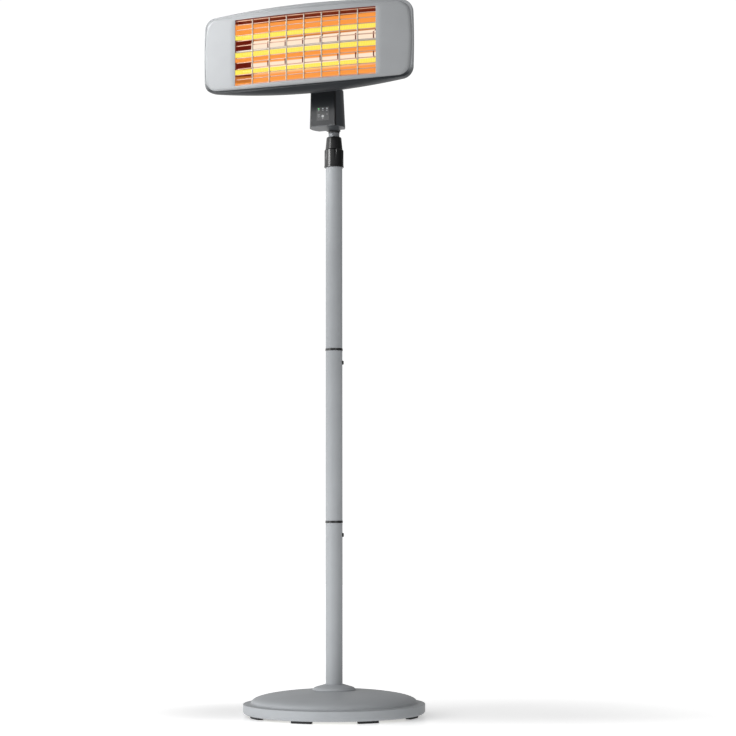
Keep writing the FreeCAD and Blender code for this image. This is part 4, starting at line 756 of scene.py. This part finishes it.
class HEATER_OT_grille(bpy.types.Operator):
    """Round welded wires of the grille."""
    bl_idname = "heater.grille"
    bl_label = "Grille"

    def execute(self, context):
        tones = context.scene.heater_colours
        sizes = context.scene.heater_sizes
        # Bright nickel-plated wire, drawn and welded: light grey with a soft gloss
        wire = finish("nickel_plated_wire", tones.wire, 0.55, metallic=0.2, grain=0.6, depth=0.01, change=0.04)
        dress(wire, "grille")
        thick, thin, weld = sizes.wire / MM, sizes.row_wire / MM, 0.5
        stout_wire = 2.2 * thin
        half_width = GRILLE_HIGH.x / MM - thin
        low, high = GRILLE_LOW.z / MM + thick, GRILLE_HIGH.z / MM - thick
        front = -GRILLE_LOW.y / MM - thick
        across = np.linspace(-half_width, half_width, COLUMNS + 1)[1:-1]
        # The rows are not quite even: they leave the tubes' own heights clear, from the lowest wire upwards
        shifts = np.array([0.0, 0.0, -1.1, 0.0, 2.2, 1.1, 3.7, 5.0, 4.4, 5.0, 5.5, 5.0, 2.0])
        heights = np.linspace(low, high, ROWS + 1) + shifts
        # Upright wires stand on the bowed face, y = x^2 / (2 R) - front, from the low to the high edge
        rise = np.array([low - thin, high + 2 * thin])
        upright = np.stack(np.broadcast_arrays(
            across[:, None], (across ** 2 / (2 * FACE_RADIUS) - front)[:, None], rise[None, :]), axis=-1)
        steps = np.broadcast_to(np.array([0.0, 0.0, 1.0]), upright.shape)
        points, faces = lay_wires(upright, steps, thick, 12)
        # Level wires lie behind them and follow the same bow, y = x^2 / (2 R) - back, at their heights
        run = np.linspace(-half_width - thin, half_width + thin, 33)
        back = front - thick - thin + weld
        level = np.stack(np.broadcast_arrays(
            run[None, :], (run ** 2 / (2 * FACE_RADIUS) - back)[None, :], heights[:, None]), axis=-1)
        slope = np.stack([np.ones_like(run), run / FACE_RADIUS, np.zeros_like(run)], axis=-1)
        slope = np.broadcast_to(slope / np.linalg.norm(slope, axis=-1, keepdims=True), level.shape)
        middle = np.arange(ROWS + 1) == ROWS // 2
        # The stout middle wire belongs to the uprights' frame
        stout, stout_faces = lay_wires(level[middle], slope[middle], stout_wire, 12)
        faces = faces + [[corner + len(points) for corner in face] for face in stout_faces]
        points = np.vstack([points, stout])
        piece("grille_uprights", points, faces, wire, "head", ["grille"], 40.0)
        # The same wire nearer the tubes, with a warm tint that is a painted orange light of the tubes' glow
        warm = finish("wire_in_painted_glow", tones.warm_wire, 0.45, metallic=0.2, grain=0.6, depth=0.01, change=0.06)
        points, faces = lay_wires(level[~middle], slope[~middle], thin, 10)
        piece("grille_rows", points, faces, warm, "head", (), 40.0)
        return {"FINISHED"}


class HEATER_OT_base(bpy.types.Operator):
    """Pressed base cover with a rounded rim, ledge, flare and dome, and the trim cap on it."""
    bl_idname = "heater.base"
    bl_label = "Base cover"

    def execute(self, context):
        silver = bpy.data.materials["powder_coated_steel"]
        self.cap(silver)
        self.cover(silver)
        return {"FINISHED"}

    def cap(self, silver):
        """Trim cap: a low cone with a rounded edge, rising to a small lip round the pole, turned round Z."""
        bore, soft, lip = POLE_RADIUS + 0.3, 0.6, 0.8
        tall = CAP_TOP - DOME_TOP
        profile = np.vstack([
            [(bore, DOME_TOP), (CAP_RADIUS - soft, DOME_TOP), (CAP_RADIUS, DOME_TOP + soft)],
            arc((CAP_RADIUS, DOME_TOP + 1.5), (CAP_RADIUS - 2.4, DOME_TOP + 0.36 * tall),
                (CAP_RADIUS - 8.0, DOME_TOP + 0.58 * tall), 16),
            arc((POLE_RADIUS + 4.0, CAP_TOP - 0.3), (POLE_RADIUS + 3.2, CAP_TOP - 0.1),
                (POLE_RADIUS + 2.4, CAP_TOP), 5),
            [(bore + lip, CAP_TOP), (bore, CAP_TOP - lip)],
        ])
        points, faces = turned(profile, around=120)
        piece("pole_cap_skin", points, faces, silver, "stand", ["pole_cap"], 30.0)

    def cover(self, silver):
        """Base cover, a closed profile turned round Z: rim, ledge and dome outside, the dome again inside.

        Dome: z = start + rise (1 - s^1.3)^0.4, where s goes from 0 at the cap to 1 at the ledge.
        """
        rim, hem, sheet = FOOT_TOP + 22.5, BASE_RADIUS - 9.0, 2.0
        bore = POLE_RADIUS + 0.3
        ledge = (BASE_RADIUS - 16.0, rim + 0.8)
        start = (BASE_RADIUS - 18.5, rim + 2.2)
        # The two rounds of the rim, with how far each one's middle lies inside its corner
        lower, upper = 7.0, 1.5
        inside = 1 - math.sqrt(0.5)
        share = np.concatenate([np.linspace(0.0, 0.8, 40), 1 - np.geomspace(0.19, 0.0005, 30), [1.0]])

        def dome(inset):
            reach = CAP_RADIUS + share * (start[0] - inset - CAP_RADIUS)
            rise = (DOME_TOP - start[1]) * (1 - share ** 1.3) ** 0.4
            return np.column_stack([reach, start[1] - inset + rise])

        profile = np.vstack([
            [(hem, FOOT_TOP)],
            arc((BASE_RADIUS - lower, FOOT_TOP), (BASE_RADIUS - lower * inside, FOOT_TOP + lower * inside),
                (BASE_RADIUS, FOOT_TOP + lower), 12),
            arc((BASE_RADIUS, rim - upper), (BASE_RADIUS - upper * inside, rim - upper * inside),
                (BASE_RADIUS - upper, rim), 8),
            [ledge],
            dome(0.0)[::-1],
            [(bore, DOME_TOP), (bore, DOME_TOP - sheet)],
            dome(sheet),
            [(hem, rim - sheet)],
        ])
        points, faces = turned(profile, around=240)
        piece("base_cover_skin", points, faces, silver, "stand", ["base_cover"], 14.0)


class HEATER_OT_panel(bpy.types.Operator):
    """Lamps and printed marks on the control panel."""
    bl_idname = "heater.panel"
    bl_label = "Panel marks"

    def execute(self, context):
        # Clear lamp lenses, moulded and smooth: the left one lit green, the others white, told by their place
        green_end, white_start = -5.2, -5.0
        material, tree = bare_material("moulded_lamp_lens")
        place = node(tree, "ShaderNodeTexCoord").outputs["Object"]
        axes = node(tree, "ShaderNodeSeparateXYZ", None, {"Vector": place})
        side = node(tree, "ShaderNodeMapRange", fade(green_end * MM, white_start * MM),
                    {"Value": axes.outputs["X"]})
        shade = node(tree, "ShaderNodeValToRGB", {"stops": [(0.0, linear("5fe06c")), (1.0, linear("9a9ea0"))]},
                     {"Fac": side.outputs["Result"]})
        shader = node(tree, "ShaderNodeBsdfPrincipled", {"Roughness": 0.2, "Emission Strength": 0.8},
                      {"Base Color": shade.outputs["Color"], "Emission Color": shade.outputs["Color"]})
        node(tree, "ShaderNodeOutputMaterial", None, {"Surface": shader.outputs["BSDF"]})
        dress(material, "indicator_lamps")
        self.marks(context.scene.heater_colours)
        return {"FINISHED"}

    def marks(self, tones):
        """Screen-printed marks: flat bars on the panel below the lamps and on the film beside the key.

        Each bar is given as its middle (x, z), width and height, and stands a little out of the printed sheet.
        """
        # Screen-printed ink: pale and even, with a dull sheen
        ink = finish("screen_printed_ink", tones.print, 0.5, grain=0.3, depth=0.0, change=0.04)
        stand = 0.05
        step = LAMP_HALF - 1.5
        below = LAMP_HEIGHT - 4.4
        on_panel = [(place, below, 3.0, 0.9) for place in (-step, 0.0, step)]
        on_film = [(-step, KEY_HEIGHT + 3.6, 5.0, 0.7), (-step, KEY_HEIGHT - 0.8, 4.2, 0.6),
                   (step + 0.6, KEY_HEIGHT + 4.2, 2.6, 0.8), (0.0, KEY_HEIGHT - 5.4, 3.6, 0.6)]
        bars = np.array(on_panel + on_film)
        corners = np.array([(-0.5, -0.5), (0.5, -0.5), (0.5, 0.5), (-0.5, 0.5)])
        spots = bars[:, None, :2] + corners[None] * bars[:, None, 2:]
        sheet = np.array([PANEL_FRONT] * len(on_panel) + [FILM_FRONT] * len(on_film))[:, None, None]
        depths = -sheet + np.array([-stand, stand])[None, :, None]
        points = np.stack(np.broadcast_arrays(spots[:, None, :, 0], depths, spots[:, None, :, 1]), axis=-1)
        faces = (BLOCK_FACES[None] + 8 * np.arange(len(bars))[:, None, None]).reshape(-1, 4)
        piece("panel_print", points.reshape(-1, 3), faces, ink, "mast")


class HEATER_OT_stage(bpy.types.Operator):
    """White floor, bright soft surroundings, four soft boxes and the camera."""
    bl_idname = "heater.stage"
    bl_label = "Stage"

    def execute(self, context):
        scene = context.scene
        stage = scene.heater_stage
        scene.view_settings.view_transform = "Standard"
        # How far round the pole the camera stands from the heater's front
        away = math.atan2(stage.place[0], -stage.place[1])
        self.floor(scene)
        self.surroundings(scene, away)
        # Each soft box: its place, what it points at, its size, strength and spread
        self.soft_box(scene, "key_soft_box", (-0.75, -0.85, 1.6), (-0.27, -0.17, 1.5), 0.5, stage.key, 40.0)
        self.soft_box(scene, "overhead_soft_box", (-0.9, -0.3, 2.1), (0.0, -0.12, 1.6), 0.4, stage.overhead, 30.0)
        self.soft_box(scene, "low_soft_box", (-1.3, -1.7, 0.7), (0.0, -0.05, 0.15), 0.8, stage.low, 40.0)
        self.soft_box(scene, "fill_soft_box", (1.5, -1.6, 0.7), (0.0, 0.0, 0.3), 0.8, stage.fill, 40.0)
        self.camera(scene, stage, away)
        return {"FINISHED"}

    def floor(self, scene):
        """White lacquered board, lit through from below, with painted shadows where it gives out less in two soft
        patches beside the base.
        """
        half, glow, boost = 9.0, 0.58, 0.2
        forwards = (0.374, -0.927, 0.0)
        mesh = bpy.data.meshes.new("studio_floor")
        corners = [(-half, -half, 0), (half, -half, 0), (half, half, 0), (-half, half, 0)]
        mesh.from_pydata(corners, [], [(0, 1, 2, 3)])
        sheet = bpy.data.objects.new("studio_floor", mesh)
        scene.collection.objects.link(sheet)
        # Lacquer, sprayed and polished: white, with a soft broad gloss
        board = finish("white_lacquered_floor", (0.9, 0.9, 0.9), 0.3, grain=30.0, depth=0.0, change=0.0,
                       gloss_change=0.02, **{"Emission Color": (1.0, 1.0, 1.0, 1.0)})
        mesh.materials.append(board)
        tree, shader, place = coat_parts(board)

        def patch(measure, centre, settings):
            """A value that fades with a place's distance from a centre or along a direction."""
            reach = node(tree, "ShaderNodeVectorMath", {"operation": measure, 1: centre}, {0: place})
            return node(tree, "ShaderNodeMapRange", {"interpolation_type": "SMOOTHSTEP", **settings},
                        {"Value": reach.outputs["Value"]}).outputs["Result"]

        # Painted shadows: the floor gives out less light in two soft patches beside the base
        right = patch("DISTANCE", (0.34, 0.12, 0.0), fade(0.1, 0.75, 0.3, glow))
        left = patch("DISTANCE", (-0.2, 0.02, 0.0), fade(0.06, 0.4, 0.22, glow))
        painted_shadows = node(tree, "ShaderNodeMath", {"operation": "MINIMUM"}, {0: right, 1: left})
        # A painted pool of light on the floor close before the base
        fore = patch("DOT_PRODUCT", forwards, fade(0.02, 0.32, 0.0, boost))
        close = patch("DISTANCE", (0.0, 0.0, 0.0), fade(0.4, 1.3, 1.0, 0.0))
        total = node(tree, "ShaderNodeMath", {"operation": "MULTIPLY_ADD"},
                     {0: fore, 1: close, 2: painted_shadows.outputs["Value"]})
        tree.links.new(total.outputs["Value"], shader.inputs["Emission Strength"])

    def surroundings(self, scene, away):
        """Soft light from all round, brighter from the left of the camera and darker from its right.

        Its strength is a product of fades: across the picture, before and behind the heater, and upwards.
        """
        white = 1.05
        world = bpy.data.worlds.new("soft_studio")
        scene.world = world
        world.use_nodes = True
        tree = world.node_tree
        tree.nodes.clear()
        way = node(tree, "ShaderNodeTexCoord").outputs["Generated"]
        rightwards = (math.cos(away), math.sin(away), 0.0)
        backwards = (-math.sin(away), math.cos(away), 0.0)
        upwards = (0.0, 0.0, 1.0)
        fades = [(rightwards, fade(-1.0, 1.0, 2.9, 0.12)), (backwards, fade(-1.0, 0.0, 0.55, 1.0)),
                 (backwards, fade(0.0, 0.8, 1.0, 0.45)), (upwards, fade(0.1, 1.0, 1.0, 0.2))]
        strength = None
        for direction, settings in fades:
            reach = node(tree, "ShaderNodeVectorMath", {"operation": "DOT_PRODUCT", 1: direction}, {0: way})
            share = node(tree, "ShaderNodeMapRange", settings,
                         {"Value": reach.outputs["Value"]}).outputs["Result"]
            if strength is not None:
                share = node(tree, "ShaderNodeMath", {"operation": "MULTIPLY"},
                             {0: strength, 1: share}).outputs["Value"]
            strength = share
        # The backdrop itself is plain white from every side
        seen = node(tree, "ShaderNodeLightPath").outputs["Is Camera Ray"]
        strength = node(tree, "ShaderNodeMix", {"data_type": "FLOAT", 3: white}, {0: seen, 2: strength})
        light = node(tree, "ShaderNodeBackground", {"Color": (1.0, 1.0, 1.0, 1.0)},
                     {"Strength": strength.outputs[0]})
        node(tree, "ShaderNodeOutputWorld", None, {"Surface": light.outputs["Background"]})

    def soft_box(self, scene, name, place, aim, size, power, spread):
        """A square soft light at a place, turned to a point, with its beam kept to a spread in degrees."""
        lamp = bpy.data.lights.new(name, "AREA")
        lamp.energy = power
        lamp.size = size
        lamp.spread = math.radians(spread)
        made = bpy.data.objects.new(name, lamp)
        made.visible_camera = False
        made.location = place
        made.rotation_euler = (Vector(aim) - Vector(place)).to_track_quat("-Z", "Y").to_euler()
        scene.collection.objects.link(made)

    def camera(self, scene, stage, away):
        """The camera at its place: turned to the pole, then by its own turn, pitch and roll."""
        lens = bpy.data.cameras.new("camera")
        lens.sensor_width = 36.0
        lens.lens = stage.lens
        lens.clip_end = 60.0
        camera = bpy.data.objects.new("camera", lens)
        camera.location = stage.place
        level = Euler((math.pi / 2 + stage.pitch, 0.0, away - stage.turn)).to_matrix()
        camera.rotation_euler = (level @ Matrix.Rotation(-stage.roll, 3, "Z")).to_euler()
        scene.collection.objects.link(camera)
        scene.camera = camera


class HEATER_PT_sidebar(bpy.types.Panel):
    """Lists the heater's operators."""
    bl_label = "Infrared heater"
    bl_idname = "HEATER_PT_sidebar"
    bl_space_type = "VIEW_3D"
    bl_region_type = "UI"
    bl_category = "Heater"

    def draw(self, context):
        """Draws one button for each operator."""
        for operator in OPERATORS:
            self.layout.operator(operator.bl_idname)


GROUPS = {"heater_colours": HeaterColours, "heater_sizes": HeaterSizes, "heater_stage": HeaterStage}
OPERATORS = (HEATER_OT_paint, HEATER_OT_plastic, HEATER_OT_metal, HEATER_OT_glow, HEATER_OT_grille,
             HEATER_OT_base, HEATER_OT_panel, HEATER_OT_stage)


def register():
    """Registers the classes and hangs the property groups on the scene."""
    for made in (*GROUPS.values(), *OPERATORS, HEATER_PT_sidebar):
        bpy.utils.register_class(made)
    for name, group in GROUPS.items():
        setattr(bpy.types.Scene, name, bpy.props.PointerProperty(type=group))


def unregister():
    """Takes the property groups off the scene and the classes out again."""
    for name in GROUPS:
        delattr(bpy.types.Scene, name)
    for made in (HEATER_PT_sidebar, *reversed(OPERATORS), *reversed(list(GROUPS.values()))):
        bpy.utils.unregister_class(made)


def main():
    """Registers the add-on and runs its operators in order."""
    register()
    bpy.ops.heater.paint()
    bpy.ops.heater.plastic()
    bpy.ops.heater.metal()
    bpy.ops.heater.glow()
    bpy.ops.heater.grille()
    bpy.ops.heater.base()
    bpy.ops.heater.panel()
    bpy.ops.heater.stage()


if __name__ == "__main__":
    main()
